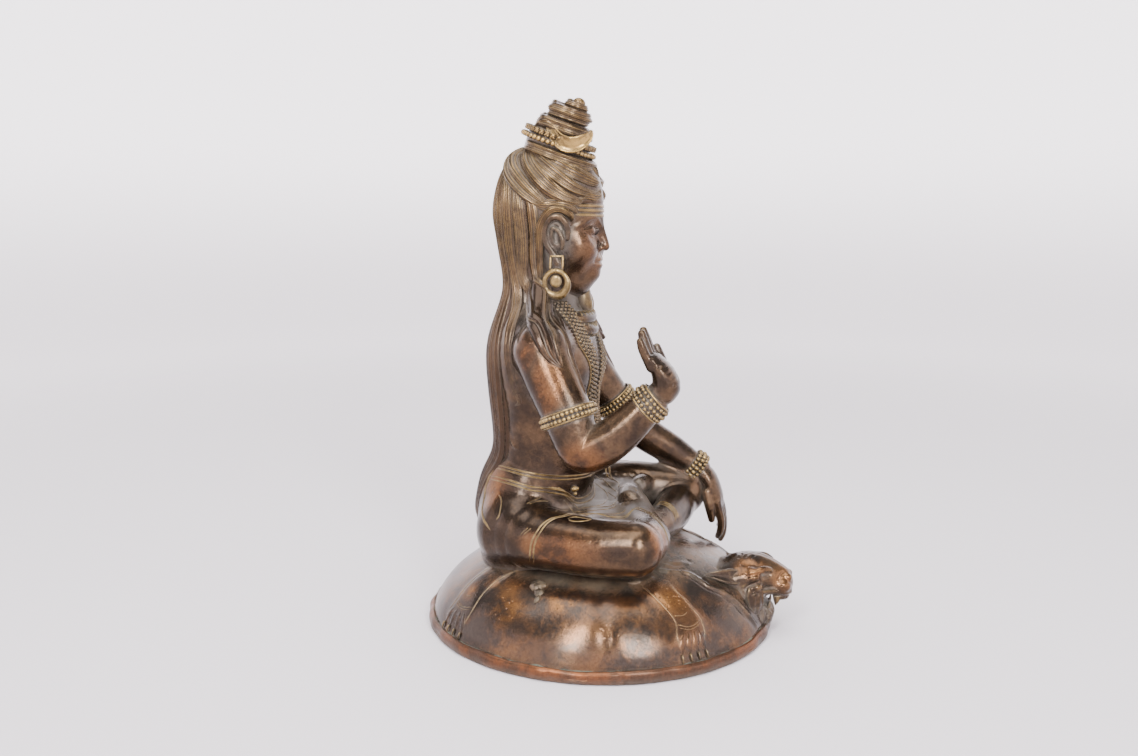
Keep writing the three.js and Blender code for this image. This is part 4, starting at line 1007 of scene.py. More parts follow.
def mound_piece():
    turns, reaches = 480, 150
    turn = np.arange(turns) / turns * 360 - 180
    # More rings towards the foot, where the slope is steep
    reach = 1 - (1 - np.linspace(0.02, 1, reaches)) ** 1.7
    grid = on_mound(turn[None], reach[:, None])
    lift = np.zeros(grid.shape[:2])
    shade_and_stain = np.zeros(grid.shape[:2])

    def ridge(places, width, height):
        """A raised or sunk line along places (turn, reach)."""
        nonlocal lift, shade_and_stain
        line = eased(places, 8)
        path = on_mound(line[:, 0], line[:, 1])
        gap = np.full(lift.shape, 999.0)
        for a, b in zip(path[:-1], path[1:]):
            run = b - a
            near = np.clip(((grid - a) @ run) / (run @ run), 0, 1)
            gap = np.minimum(gap, np.linalg.norm(grid - a - near[..., None] * run, axis=-1))
        lift += height * np.exp(-(gap / width) ** 2)
        # Sunk lines are also painted in shade
        if height < 0:
            shade_and_stain += 0.7 * np.exp(-(gap / width) ** 2)

    def patches(places):
        total = np.zeros(grid.shape[:2])
        for a, r, size, share in places:
            gap = np.linalg.norm(grid - on_mound(a, r), axis=-1) / size
            total = np.maximum(total, share * np.clip(1.6 - 1.3 * gap, 0, 1))
        return total

    for side in BOTH:
        for front, back in (FORELEG, HINDLEG):
            edges = [np.interp(reach, *np.array(line)[:, ::-1].T) for line in (front, back)]
            here = -side * turn[None]
            behind_front = 1 / (1 + np.exp((here - edges[0][:, None]) * 1.5))
            leg = behind_front / (1 + np.exp((edges[1][:, None] - here) * 1.5))
            begins = np.clip((reach - front[0][1]) * 12, 0, 1)[:, None]
            ends = np.clip((0.975 - reach) * 30, 0, 1)[:, None]
            lift += 0.9 * leg * begins * ends
        edge_line = on_side(-side, SKIN_EDGE)
        ridge(edge_line, 1.0, 0.9)
        ridge([(a + side * 2.0, r) for a, r in edge_line[1:]], 1.2, -0.45)
    # A soft crease down the side, low folds near the knees, and crust where the legs meet the mound
    ridge([(-78, 0.66), (-78, 0.8), (-77, 0.92)], 4.0, -0.7)
    ridge([(-49, 0.60), (-36, 0.572), (-24, 0.605)], 1.6, 0.5)
    ridge([(-36, 0.556), (-31, 0.6), (-21, 0.598)], 0.9, -0.4)
    ridge([(-68, 0.63), (-60, 0.655), (-52, 0.64)], 1.3, 0.6)
    ridge([(-95, 0.985), (-60, 0.99), (-30, 0.988), (0, 0.99), (60, 0.99), (120, 0.988),
           (180, 0.985)], 1.4, 0.3)
    east = np.roll(grid, -1, 1) - np.roll(grid, 1, 1)
    north = np.gradient(grid, axis=0)
    out = unit(np.cross(north, east))
    out = np.where(out[..., 2:] < -0.2, -out, out)
    lumps = sum(np.sin(grid[..., 0] * a + grid[..., 1] * b + grid[..., 2] * c + d) * s for a, b, c, d, s in
                ((0.11, 0.07, 0.05, 1.0, 0.25), (-0.06, 0.13, 0.1, 2.2, 0.2),
                 (0.21, -0.17, 0.2, 4.1, 0.07)))
    calm = np.clip((1 - reach) * 20, 0, 1)[:, None]
    grid = grid + out * ((lift + lumps) * calm)[..., None]
    foot = grid[-1] * [0.995, 0.995, 0] + [0, 0, FOOT_Z]
    points, faces = skinned(np.concatenate([grid, foot[None]])[::-1])
    piece = Piece()

    def spread(values):
        return np.append(np.clip(np.concatenate([values, values[-1:]])[::-1], 0, 1).ravel(), [0, 0])

    # Painted shade of the sunk lines and the real stains go into one darkening mark
    piece.add(points, faces, spread(shade_and_stain + patches(STAINS)), 0.0, spread(patches(DUSTY)),
              spread(patches(RUSTY)))

    def at(a, r):
        """Places on the finished mound and the way out of it there."""
        row = np.interp(r, reach, np.arange(reaches))
        col = (np.asarray(a, float) + 180) / 360 * turns
        i, j = np.minimum(row.astype(int), reaches - 2), np.floor(col).astype(int)
        f, g = (row - i)[:, None], (col - j)[:, None]
        found = []
        for table in (grid, out):
            near = table[i, j % turns] * (1 - g) + table[i, (j + 1) % turns] * g
            far = table[i + 1, j % turns] * (1 - g) + table[i + 1, (j + 1) % turns] * g
            found.append(near * (1 - f) + far * f)
        return found

    def drawn(places, radius, bright=0.1):
        line = eased(places, 7)
        p, way = at(line[:, 0], line[:, 1])
        cord(piece, p - way * radius * 0.25, radius, way, 0.8, bright, steps=1)

    for side in BOTH:
        for front, back in (FORELEG, HINDLEG):
            def over(share, r):
                near, far = (np.interp(r, *np.array(line)[:, ::-1].T) for line in (front, back))
                return -side * (near + (far - near) * share), r

            for line in (front, back):
                drawn(on_side(-side, line), 0.45)
            # Cuffs over the paw and on the shank
            drawn([over(s, 0.893 + 0.018 * math.sin(math.pi * s)) for s in (0.04, 0.3, 0.6, 0.95)], 0.34)
            drawn([over(s, 0.902 + 0.018 * math.sin(math.pi * s)) for s in (0.1, 0.3, 0.6, 0.9)], 0.26)
            drawn([over(s, 0.838 + 0.03 * math.sin(2.4 * s)) for s in (0.35, 0.6, 0.93)], 0.3)
            for k in range(4):
                s = (k + 0.5) / 4
                shares = [0.5 + (s - 0.5) * w for w in (0.7, 0.95, 1.1, 1.22)]
                a, r = np.array([over(*place) for place in zip(shares, (0.925, 0.945, 0.963, 0.98))]).T
                p, way = at(a, r)
                toe = eased(np.column_stack([p - way * 0.3, [0.6, 1.7, 1.9, 0.5], [0.3, 0.6, 0.7, 0.4]]), 5)
                ways = eased(way, 5)
                piece.add(*tube(toe, ways, oval(10)), bright=-0.4)
                a, r = np.array([over(shares[3], v) for v in (0.979, 0.987, 0.994)]).T
                p, way = at(a, r)
                claw = eased(np.column_stack([p + way * [[0.5], [0.8], [0.3]], [0.6, 0.5, 0.12],
                                              [0.6, 0.5, 0.12]]), 4)
                piece.add(*tube(claw, way[1], oval(7)), bright=0.3)
    # Crust stuck to the near side
    ball, around = bead_shape(24, 12)
    for a, r, size in ((-108.5, 0.70, (4.4, 3.6, 1.7)), (-106, 0.735, (2.6, 2.6, 1.3)),
                       (-105, 0.775, (1.3, 2.4, 0.9)), (-62, 0.65, (3.4, 1.6, 0.9))):
        p, way = at(np.array([a]), np.array([r]))
        across = unit(np.cross(UP, way[0]))
        bumps = 0.12 * np.sin(ball[:, 0] * 7 + a) * np.cos(ball[:, 1] * 6)
        grit = 0.07 * np.sin(ball[:, 0] * 17 + ball[:, 1] * 13)
        lump = ball * (1 + bumps + grit)[:, None] * size
        piece.add(p[0] + lump @ np.array([across, np.cross(way[0], across), way[0]]), around, film=1.0)
    return piece


def tiger_wax():
    wax = Wax([-29, -106.9, 2.5], [29, -46, 47], 0.5)
    # Scruff, skull, muzzle, cheeks and jaw
    wax.roll([[0, -54, 26.6, 13, 4.6], [0, -62, 27.4, 15.6, 5.6], [0, -70, 27.6, 17, 8.4],
              [0, -77, 28.8, 16.4, 11.2], [0, -84, 29.6, 14.4, 12], [0, -91, 28.4, 10.6, 11],
              [0, -97.4, 27.4, 7.6, 8.8]], 3, steps=4)
    wax.ball([0, -98, 26.4], [8, 7.6, 7], 2)
    for side in BOTH:
        wax.ball([side * 13, -82, 21], [7.6, 9, 11], 3)
        wax.roll(on_side(side, [[12.6, -78, 13, 6, 9], [11, -85, 10, 5, 7], [7, -91, 8.6, 4.4, 4.4]]), 3)
        wax.roll(on_side(side, [[14.4, -74, 9.4, 5.4, 8], [12.4, -80, 7, 4.4, 6]]), 2)
        wax.roll(on_side(side, [[12, -78, 30.4, 5, 5], [17, -71, 29.4, 4.6, 4.4],
                                [19.6, -64, 28, 3, 3]]), 3)
    wax.roll([[-7, -57, 32.6, 8, 4], [-9.6, -65, 32, 8, 4.6], [-11, -73, 31.8, 7.4, 4.8],
              [-11.6, -79, 32, 6, 5]], 4)
    wax.roll([[0, -57, 33, 9, 3], [0, -65, 32.2, 10, 3.8], [0, -72, 31, 12, 5.4], [0, -79, 29, 12, 9]], 3)
    wax.roll([[0, -72, 12, 15, 9], [0, -84, 10.4, 12, 7.4], [0, -90.2, 10, 8.4, 6]], 3)
    wax.soften(3)
    for side in BOTH:
        # Cheekbone in two bosses, flews, nose pad and the wing of the nostril
        wax.ball([side * 12.8, -84.4, 33], [5, 5, 4.8], 1.4)
        wax.ball([side * 13, -86.2, 27.6], [5, 4.6, 3.4], 0.8)
        wax.ball([side * 4.8, -99.4, 26.4], [5.2, 5.4, 4.4], 0.8)
        wax.ball([side * 3.2, -102.2, 30.4], [2.8, 3, 2.6], 0.6)
        wax.roll(on_side(side, [[8.8, -93.4, 35.8, 1.5], [10.8, -90.6, 36.5, 1.9], [13, -88, 36, 2],
                                [15, -85, 34.8, 1.6]]), 1.2)
        # The lip, rolled back from the teeth to the corner of the jaw
        wax.roll(on_side(side, [[15.2, -85.4, 23.4, 1.0], [14.6, -88, 25, 1.2], [12.4, -91.4, 25, 1.2],
                                [10.6, -94.6, 24.8, 1.2], [8.8, -98.4, 24.2, 1.5],
                                [6, -101.8, 23, 1.6], [2, -103.8, 22.4, 1.6]]), 0.6)
        wax.crease(on_side(side, [[17, -84.6, 25.6], [15.6, -87.6, 27], [13, -91, 27],
                                  [10.6, -95, 27]]), 0.8, 0.8)
        # Brow and lid round a small sunk eye, and the fold between the bosses
        wax.crease(on_side(side, [[16.4, -82.6, 34], [14.4, -86.2, 34.4], [12.5, -88.6, 35.4],
                                  [11, -90.6, 36.2], [9, -93, 35]]), 0.8, 1.2)
        wax.cut(on_side(side, [[12, -89.6, 34.4, 0.8], [11, -91.8, 34.2, 0.8]]), 0.5)
        wax.crease(on_side(side, [[14.4, -87.3, 33.4], [13, -89.2, 32.4], [11, -91.6, 32.4],
                                  [9.4, -93.6, 33.2]]), 0.7, 0.35)
        wax.crease(on_side(side, [[18, -81.4, 28], [17.4, -83.7, 29.6], [16.6, -86.9, 31],
                                  [15, -88.6, 31]]), 0.7, 1.3)
        wax.crease(on_side(side, [[8, -98.4, 30.8], [7, -99.4, 32.9], [5, -101.5, 34.2]]), 0.7, 0.8)
        # Ruff behind the cheek
        for depth, stations in (
                (1.1, [[18, -82, 27.3], [18, -81.5, 23.4], [17.5, -82.3, 20.2], [16, -82.6, 14]]),
                (-0.7, [[18, -83.4, 27.3], [18, -83, 23.4], [17.5, -83.8, 19]]),
                (0.9, [[16, -86.6, 25], [16, -85.7, 21.1], [15.5, -85.8, 16.2], [14, -86, 10]]),
                (1.0, [[14.5, -89.1, 24.4], [14.5, -87.6, 21.1], [13.5, -88, 16.4], [13, -87.6, 11]]),
                (-0.7, [[14.5, -90.3, 24], [14.3, -89, 20.4], [13.4, -89.4, 16]])):
            wax.crease(on_side(side, stations), 0.7, depth)
        wax.cut(on_side(side, [[1.6, -106.8, 30, 0.9], [3.4, -105.4, 30.4, 0.7]]), 0.5)
    # Gums and the row of front teeth under the lip
    wax.roll([[-6.4, -98.6, 20.6, 1.8], [-3.4, -101.6, 19.9, 1.8], [0, -102.2, 19.8, 1.8],
              [3.4, -101.6, 19.9, 1.8], [6.4, -98.6, 20.6, 1.8]], 0.6)
    for k in range(-3, 4):
        wax.crease([[k * 1.7, -104 + abs(k) * 0.5, 20.6], [k * 1.7, -103.6 + abs(k) * 0.5, 18]], 0.4, 0.6)
    # Mouth, open right through behind the fangs
    wax.cut([[-17, -93.6, 19.4, 1.7, 2], [0, -94.2, 19.2, 2.2, 2.4], [17, -93.6, 19.4, 1.7, 2]], 0.5,
            across=DEEP)
    wax.cut([[0, -102, 15.4, 8.4, 2], [0, -96, 16.6, 8.4, 2], [0, -90, 18, 7, 1.6]], 0.8)
    wax.crease([[0, -106.4, 28], [0, -106.6, 24.6], [0, -105.6, 22]], 0.6, 0.6)
    for k in range(3):
        y = -84 + k * 4
        wax.crease([[-6, y, 43], [-2, y - 1.6, 43], [0, y - 0.6, 43], [2, y - 1.6, 43], [6, y, 43]],
                   0.8, 0.35)
    wax.crease([[0, -101, 34], [0, -92, 39.4], [0, -86, 42]], 0.8, 0.3)
    # Matted beard under the chin and jaw
    for k in range(-8, 9):
        x = k * 1.7
        y = -95.4 + abs(k) ** 1.7 * 0.36
        wax.crease([[x, y + 0.6, 15 - abs(k) * 0.2], [x * 1.03 + 0.4, y - 0.4, 9.4],
                    [x * 0.99 - 0.4, y + 0.8, 4.2]], 0.6, 0.9 if k % 2 else -0.7)
    wax.cut([[-30, -112.4, 20, 5], [30, -112.4, 20, 5]], 0.5, across=DEEP)
    return wax


def tiger_trim(piece):
    """Ears and fangs of the tiger's head."""
    ears = {-1: [[-14.6, -78.4, 32.6, 2.6, 1.6], [-17.4, -76.2, 33.4, 4.2, 2.1],
                 [-20, -73.4, 34.4, 4.3, 2.1], [-22.6, -70, 35.4, 3.4, 1.9], [-24.8, -66, 36.3, 2.1, 1.5],
                 [-26.7, -61, 36.8, 0.4, 0.6]],
            1: [[14, -80, 29.6, 1.4, 1.4], [16.4, -77, 29.8, 3, 2.2], [19.4, -73, 29.8, 3.6, 2.4],
                [22, -69, 29.6, 3.2, 2.1], [24.4, -65.4, 29.4, 2, 1.6], [26, -62.6, 29, 0.4, 0.6]]}
    for side in BOTH:
        ear = eased(ears[side], 6)
        dish = [np.array([1, 0.84, 0.5, 0, -0.5, -0.84, -1, -0.7, 0, 0.7]),
                np.array([0, 0.8, 0.25, -0.05, 0.25, 0.8, 0, -0.9, -1.3, -0.9])]
        piece.add(*tube(ear, unit([side * 0.85, -0.2, 0.5]), dish), bright=-0.3)
        for a, b, size in (([side * 6.6, -97.4, 21.6], [side * 6, -96.9, 15.6], 2.2),
                           ([side * 4.4, -92.8, 12.6], [side * 4.6, -94, 17], 1.1)):
            tooth = eased([[*a, size, size], [*((np.array(a) + b) / 2 + [0, -0.3, 0]), size * 0.8,
                                              size * 0.8], [*b, 0.35, 0.35]], 4)
            piece.add(*tube(tooth, [0, -1, 0.01], oval(10)), bright=0.1)


# Sole plate: flat below, its edge hammered up in dents round the foot of the mound

PLATE_LONG, PLATE_WIDE = 95.0, 91.0
EDGE_CRACKS = (-92.5, -71.0)  # in degrees from the front towards +X


def sole_piece():
    profile = np.array([[0, 0.05], [60, 0.05], [88, 0.05], [92.2, 0.05], [93.6, 0.3], [94.5, 1.1],
                        [94.9, 2.3], [94.9, 4.0], [94.6, 5.4], [93.9, 6.4], [93.0, 6.9], [92.1, 6.7],
                        [91.5, 5.8], [91.3, 3.6], [91.2, 2.2], [60, 2.0], [0, 2.0]])
    profile = np.vstack([profile[:3], eased(profile[3:15], 3), profile[15:]])
    turns = 420
    turn = np.arange(turns) / turns * 2 * math.pi
    rings = []
    for r, z in profile:
        edge = np.clip((r - 88) / 4, 0, 1) * np.clip(z / 2, 0, 1)
        dents = (0.26 * np.sin(turn * 21 + 1.3 * np.sin(turn * 4))
                 + 0.2 * np.sin(turn * 34 + 2 + np.sin(turn * 7)) - 0.42) * edge
        wobble = (0.2 * np.sin(turn * 15 + 2 * np.sin(turn * 3)) + 0.25 * np.sin(turn * 6 + 1) - 0.2) * edge
        for crack in EDGE_CRACKS:
            dents = dents - 0.7 * edge * np.exp(-((np.degrees(turn) - 360 - crack + 0.4 * z) / 0.5) ** 2)
        scale = (r + dents - 0.05) / PLATE_LONG
        rings.append(np.stack([PLATE_WIDE * scale * np.sin(turn), -PLATE_LONG * scale * np.cos(turn),
                               np.maximum(z + wobble * (z > 3), 0) + 0 * turn], 1))
    points, faces = skinned(np.array(rings))
    piece = Piece()
    piece.add(points, faces)
    return piece


def dirt_piece():
    """Grey-green dirt packed between the copper and the mound, as a ring closed on itself."""
    turn = np.linspace(0, 2 * math.pi, 300, endpoint=False)
    rough = 0.28 * np.sin(turn * 47) + 0.3 * np.sin(turn * 29 + 1) + 0.2 * np.sin(turn * 83)
    rings = []
    for inset, z in ((2.2, 3.0), (2.6, 5.9), (3.6, 6.7), (5.0, 7.3), (6.8, 6.0), (7.0, 3.0)):
        flat = np.stack([(PLATE_WIDE - inset) * np.sin(turn), -(PLATE_LONG - inset) * np.cos(turn)], 1)
        rings.append(np.column_stack([flat, z + rough * (z > 4) * 0.8]))
    sections = np.array(rings).transpose(1, 0, 2)
    m, n = sections.shape[:2]
    i = np.arange(m)[:, None] * n
    j = np.arange(n)[None]
    following = (i + n) % (m * n)
    faces = np.stack([i + j, i + (j + 1) % n, following + (j + 1) % n, following + j], -1).reshape(-1, 4)
    piece = Piece()
    piece.add(sections.reshape(-1, 3), faces)
    return piece


# Materials

def feed(tree, socket, value):
    """Links a socket to another node's output, or sets its own value."""
    if hasattr(value, "is_linked"):
        tree.links.new(value, socket)
    else:
        socket.default_value = value


def node(tree, kind, settings=None, **values):
    """A node with its settings and sockets; i0, i1 and so on are the sockets by number."""
    made = tree.nodes.new(kind)
    for key, value in (settings or {}).items():
        setattr(made, key, value)
    for key, value in values.items():
        numbered = key[0] == "i" and key[1:].isdigit()
        feed(tree, made.inputs[int(key[1:]) if numbered else key], value)
    return made


def grey(v):
    return (v, v, v)


def calc(tree, operation, a, b=0.0, clamp=False):
    return node(tree, "ShaderNodeMath", {"operation": operation, "use_clamp": clamp}, i0=a, i1=b).outputs[0]


def span(tree, value, low, high, a=0.0, b=1.0, soft=False):
    """Maps low..high to a..b."""
    kind = {"interpolation_type": "SMOOTHSTEP"} if soft else {}
    return node(tree, "ShaderNodeMapRange", kind, i0=value, i1=low, i2=high, i3=a, i4=b).outputs[0]


def mixed(tree, share, a, b, mode="MIX"):
    made = tree.nodes.new("ShaderNodeMix")
    made.data_type = "RGBA"
    made.blend_type = mode
    for number, value in ((0, share), (6, a), (7, b)):
        feed(tree, made.inputs[number], (*value, 1) if isinstance(value, tuple) else value)
    return made.outputs[2]


PATINA_COLOURS = ("Dark", "Warm", "Flush", "Metal", "Dust")
# The groove value sets how far grooves and undersides darken: painted shade over dark patina
PATINA_VALUES = ("Warm Share", "Wear", "Ridge", "Groove Shade", "Dust Share", "Gloss", "Grain")


def patina_group():
    """Mottled patina over metal, rubbed bright on edges and ridges, with dust in the hollows and painted
    shade in grooves and under beads and locks.
    """
    tree = bpy.data.node_groups.new("cast_patina", "ShaderNodeTree")
    for name in PATINA_COLOURS:
        tree.interface.new_socket(name, in_out="INPUT", socket_type="NodeSocketColor")
    for name in PATINA_VALUES:
        tree.interface.new_socket(name, in_out="INPUT", socket_type="NodeSocketFloat")
    for name, kind in (("Color", "NodeSocketColor"), ("Roughness", "NodeSocketFloat"),
                       ("Metallic", "NodeSocketFloat"), ("Normal", "NodeSocketVector")):
        tree.interface.new_socket(name, in_out="OUTPUT", socket_type=kind)
    g = tree.nodes.new("NodeGroupInput").outputs
    put = tree.nodes.new("NodeGroupOutput")
    place = node(tree, "ShaderNodeTexCoord").outputs["Object"]

    def noise(scale, detail, roughness, distortion=0.0):
        return node(tree, "ShaderNodeTexNoise", Vector=place, Scale=scale, Detail=detail,
                    Roughness=roughness, Distortion=distortion).outputs["Fac"]

    broad, fine, specks = noise(30.0, 4.0, 0.6, 0.8), noise(160.0, 6.0, 0.7, 0.4), noise(800.0, 3.0, 0.6)
    shade_and_stain, bright, film, flush = (node(tree, "ShaderNodeAttribute",
                                        {"attribute_name": mark}).outputs["Fac"] for mark in Piece.marks)
    edge = node(tree, "ShaderNodeNewGeometry").outputs["Pointiness"]
    open_sky = node(tree, "ShaderNodeAmbientOcclusion", {"samples": 6}, Distance=0.010).outputs["AO"]
    # Warm blotches on the dark ground, and chestnut where the skin was handled
    blotch = calc(tree, "ADD", calc(tree, "MULTIPLY", broad, 0.6), calc(tree, "MULTIPLY", fine, 0.4))
    warm = calc(tree, "MULTIPLY", span(tree, blotch, 0.43, 0.61, soft=True), g["Warm Share"])
    colour = mixed(tree, warm, g["Dark"], g["Warm"])
    rust = calc(tree, "MULTIPLY", flush, span(tree, blotch, 0.40, 0.54, 0.15, 1.0, True))
    colour = mixed(tree, rust, colour, g["Flush"])
    colour = mixed(tree, 0.4, colour, mixed(tree, span(tree, specks, 0.32, 0.6), grey(0.3), grey(1.0)),
                   "MULTIPLY")
    # Rubbed metal
    worn = calc(tree, "MULTIPLY", span(tree, edge, 0.505, 0.57, soft=True), 0.5)
    worn = calc(tree, "ADD", worn, bright)
    top = calc(tree, "MULTIPLY", calc(tree, "SUBTRACT", 1.0, shade_and_stain), g["Ridge"])
    worn = calc(tree, "ADD", worn, top)
    worn = calc(tree, "MULTIPLY", worn, span(tree, fine, 0.34, 0.6, 0.25, 1.0))
    worn = calc(tree, "MULTIPLY", worn, g["Wear"], True)
    colour = mixed(tree, worn, colour, g["Metal"])
    # Grooves, lock sides and undersides and the parts under beads go dark: dark patina plus painted shade
    depth = calc(tree, "MULTIPLY", shade_and_stain, g["Groove Shade"], True)
    colour = mixed(tree, depth, colour, mixed(tree, 0.75, colour, g["Dark"]))
    # Dust where little sky shows and under the film
    shut = span(tree, open_sky, 0.90, 0.40, soft=True)
    dusty = calc(tree, "ADD", shut, calc(tree, "MULTIPLY", film, 0.9))
    dusty = calc(tree, "MULTIPLY", dusty, span(tree, fine, 0.25, 0.62, 0.45, 1.0))
    dusty = calc(tree, "MULTIPLY", dusty, g["Dust Share"], True)
    colour = mixed(tree, dusty, colour, g["Dust"])
    rough = calc(tree, "ADD", g["Gloss"], calc(tree, "MULTIPLY", dusty, 0.40))
    rough = calc(tree, "ADD", rough, calc(tree, "MULTIPLY", calc(tree, "SUBTRACT", fine, 0.5), 0.3), True)
    metallic = calc(tree, "SUBTRACT", 0.85, calc(tree, "MULTIPLY", dusty, 0.7), True)
    # Fine grain of the casting, with pits in the chestnut parts
    pit = node(tree, "ShaderNodeTexVoronoi", Vector=place, Scale=420.0).outputs["Distance"]
    pit = calc(tree, "MULTIPLY", span(tree, pit, 0.0, 0.28, -1.6, 0.0, True), flush)
    height = calc(tree, "ADD", calc(tree, "MULTIPLY", fine, 0.7), calc(tree, "MULTIPLY", specks, 0.3))
    height = calc(tree, "ADD", calc(tree, "MULTIPLY", height, g["Grain"]), pit)
    bump = node(tree, "ShaderNodeBump", Strength=0.35, Distance=0.0005, Height=height)
    for name, value in (("Color", colour), ("Roughness", rough), ("Metallic", metallic),
                        ("Normal", bump.outputs[0])):
        tree.links.new(value, put.inputs[name])
    return tree


PATINA = patina_group()


def bronze(name, colours, values):
    material = bpy.data.materials.new(name)
    material.use_nodes = True
    tree = material.node_tree
    shader = tree.nodes["Principled BSDF"]
    group = tree.nodes.new("ShaderNodeGroup")
    group.node_tree = PATINA
    for key, value in zip(PATINA_COLOURS, colours):
        group.inputs[key].default_value = (*value, 1)
    for key, value in zip(PATINA_VALUES, values):
        group.inputs[key].default_value = value
    for socket, source in (("Base Color", "Color"), ("Roughness", "Roughness"), ("Metallic", "Metallic"),
                           ("Normal", "Normal")):
        tree.links.new(group.outputs[source], shader.inputs[socket])
    shader.inputs["Specular IOR Level"].default_value = 0.32
    return material


DARK, WARM, CHESTNUT = (0.036, 0.024, 0.017), (0.105, 0.062, 0.034), (0.20, 0.08, 0.028)
BRASS, DUST = (0.34, 0.22, 0.08), (0.125, 0.11, 0.092)
# Colours: dark, warm, chestnut, metal, dust. Values: warm share, wear, ridge, groove shade, dust, gloss,
# grain
skin_bronze = bronze("bronze_skin", (DARK, WARM, CHESTNUT, BRASS, DUST),
                     (0.8, 0.5, 0.0, 0.6, 0.8, 0.19, 1.4))
hair_bronze = bronze("bronze_hair", ((0.034, 0.021, 0.014), (0.10, 0.055, 0.028), CHESTNUT,
                                     (0.40, 0.25, 0.08), DUST), (0.8, 0.62, 0.4, 1.5, 0.45, 0.2, 0.8))
trim_bronze = bronze("bronze_trim", (DARK, (0.11, 0.065, 0.035), CHESTNUT, (0.42, 0.28, 0.10), DUST),
                     (0.7, 0.8, 0.1, 0.8, 0.8, 0.24, 0.8))
tiger_bronze = bronze("bronze_tiger", (DARK, (0.14, 0.08, 0.04), (0.22, 0.09, 0.03), (0.36, 0.24, 0.10),
                                       DUST), (0.8, 0.6, 0.0, 0.8, 0.8, 0.21, 0.8))
mound_bronze = bronze("bronze_mound", ((0.044, 0.033, 0.027), (0.142, 0.07, 0.033), (0.20, 0.088, 0.028),
                                       (0.36, 0.25, 0.11), (0.12, 0.10, 0.07)),
                      (0.85, 0.4, 0.0, 0.9, 0.45, 0.205, 0.8))
sole_copper = bronze("copper_sole", ((0.07, 0.036, 0.022), (0.155, 0.054, 0.021), (0.20, 0.07, 0.026),
                                     (0.30, 0.145, 0.065), (0.08, 0.08, 0.068)),
                     (0.9, 0.7, 0.0, 0.6, 0.6, 0.32, 1.6))
packed_dirt = bronze("packed_dirt", ((0.07, 0.075, 0.06), (0.15, 0.14, 0.10), CHESTNUT, (0.2, 0.19, 0.13),
                                     (0.17, 0.17, 0.14)),
                     (0.7, 0.2, 0.0, 0.3, 0.9, 0.8, 4.0))


# Build

FIGURE, MOUND, SOLE = ("figure", "figure_bronze"), ("mound", "mound_bronze"), ("sole_plate", "sole_copper")

body = body_wax()
body_piece = Piece()
body_piece.add_wax(body, film=[([2, -12, 66], [44, 30, 13], 0.8), ([0, 20, 172], [24, 24, 14], 0.6),
                               ([0, -4, 150], [24, 16, 22], 0.4)],
                   clean=[([2, -17, 66], [8, 8, 6], 0.7), ([16, -13, 68], [10, 7, 7], 0.6)],
                   flush=[([-62, -2, 58], [10, 40, 11], 0.6), ([-54, -40, 62], [13, 12, 12], 1.0),
                          ([-62, -4, 104], [10, 14, 12], 0.5), ([-50, 30, 158], [10, 12, 22], 0.7),
                          ([-60, 14, 140], [8, 10, 20], 0.5), ([60, -30, 60], [16, 30, 16], 0.4),
                          ([-30, 52, 76], [16, 18, 14], 0.5)])
body_piece.made("body", skin_bronze, *FIGURE, 130000)
hands().made("hands", skin_bronze, *FIGURE, 70000)
head_piece = Piece()
skull = head_wax()
# Gilt lines on the forehead
for points in forehead_lines():
    cord(head_piece, points, 0.85, flat=0.4, bright=0.75, wax=skull, steps=8)
head_piece.add_wax(skull, film=[([0, 24, 172], [26, 22, 12], 0.5), ([-24, 17, 208], [6, 12, 16], 0.25),
                                ([24, 17, 208], [6, 12, 16], 0.25)],
                   flush=[([0, 2, 205], [26, 16, 20], 0.3)])
head_piece.made("head", skin_bronze, *FIGURE, 110000)
hair = Piece()
core = Wax([-62, -6, 42], [62, 74, 258], 0.9)
hair_core(core)
# The forehead stays free
core.cut(mirrored([[-17, 5, 219.4, 6.4], [-11, 0.6, 219.4, 6.6], [0, -2.4, 219.4, 6.6]]), 0.5)
# The mass under the locks is painted in shade
hair.add(*core.cast(), shade_and_stain=0.8)
bed = hair_bed()
crown(hair, bed)
shoulder_locks(hair, bed)
# The long hair is rubbed bright at the crown and dull lower down
hair.values["bright"] = [b - 0.5 * np.clip((200 - p[:, 2]) / 50, 0, 1)
                         for b, p in zip(hair.values["bright"], hair.points)]
hair.made("hair", hair_bronze, *FIGURE)
topknot().made("topknot", hair_bronze, *FIGURE)
ornaments(body).made("ornaments", trim_bronze, *FIGURE)
mound_piece().made("mound_skin", mound_bronze, *MOUND, 145000)
tiger = Piece()
tiger.add_wax(tiger_wax(), film=[([0, -72, 12], [34, 30, 13], 0.6), ([0, -57, 31], [30, 17, 16], 0.8)],
              flush=[([-14, -84, 38], [12, 12, 6], 0.6), ([-6, -100, 30], [8, 8, 8], 0.4)])
tiger_trim(tiger)
tiger.made("tiger_head", tiger_bronze, *MOUND)
sole_piece().made("sole_sheet", sole_copper, *SOLE)
dirt_piece().made("packed_dirt", packed_dirt, *SOLE)


# Floor, light and camera

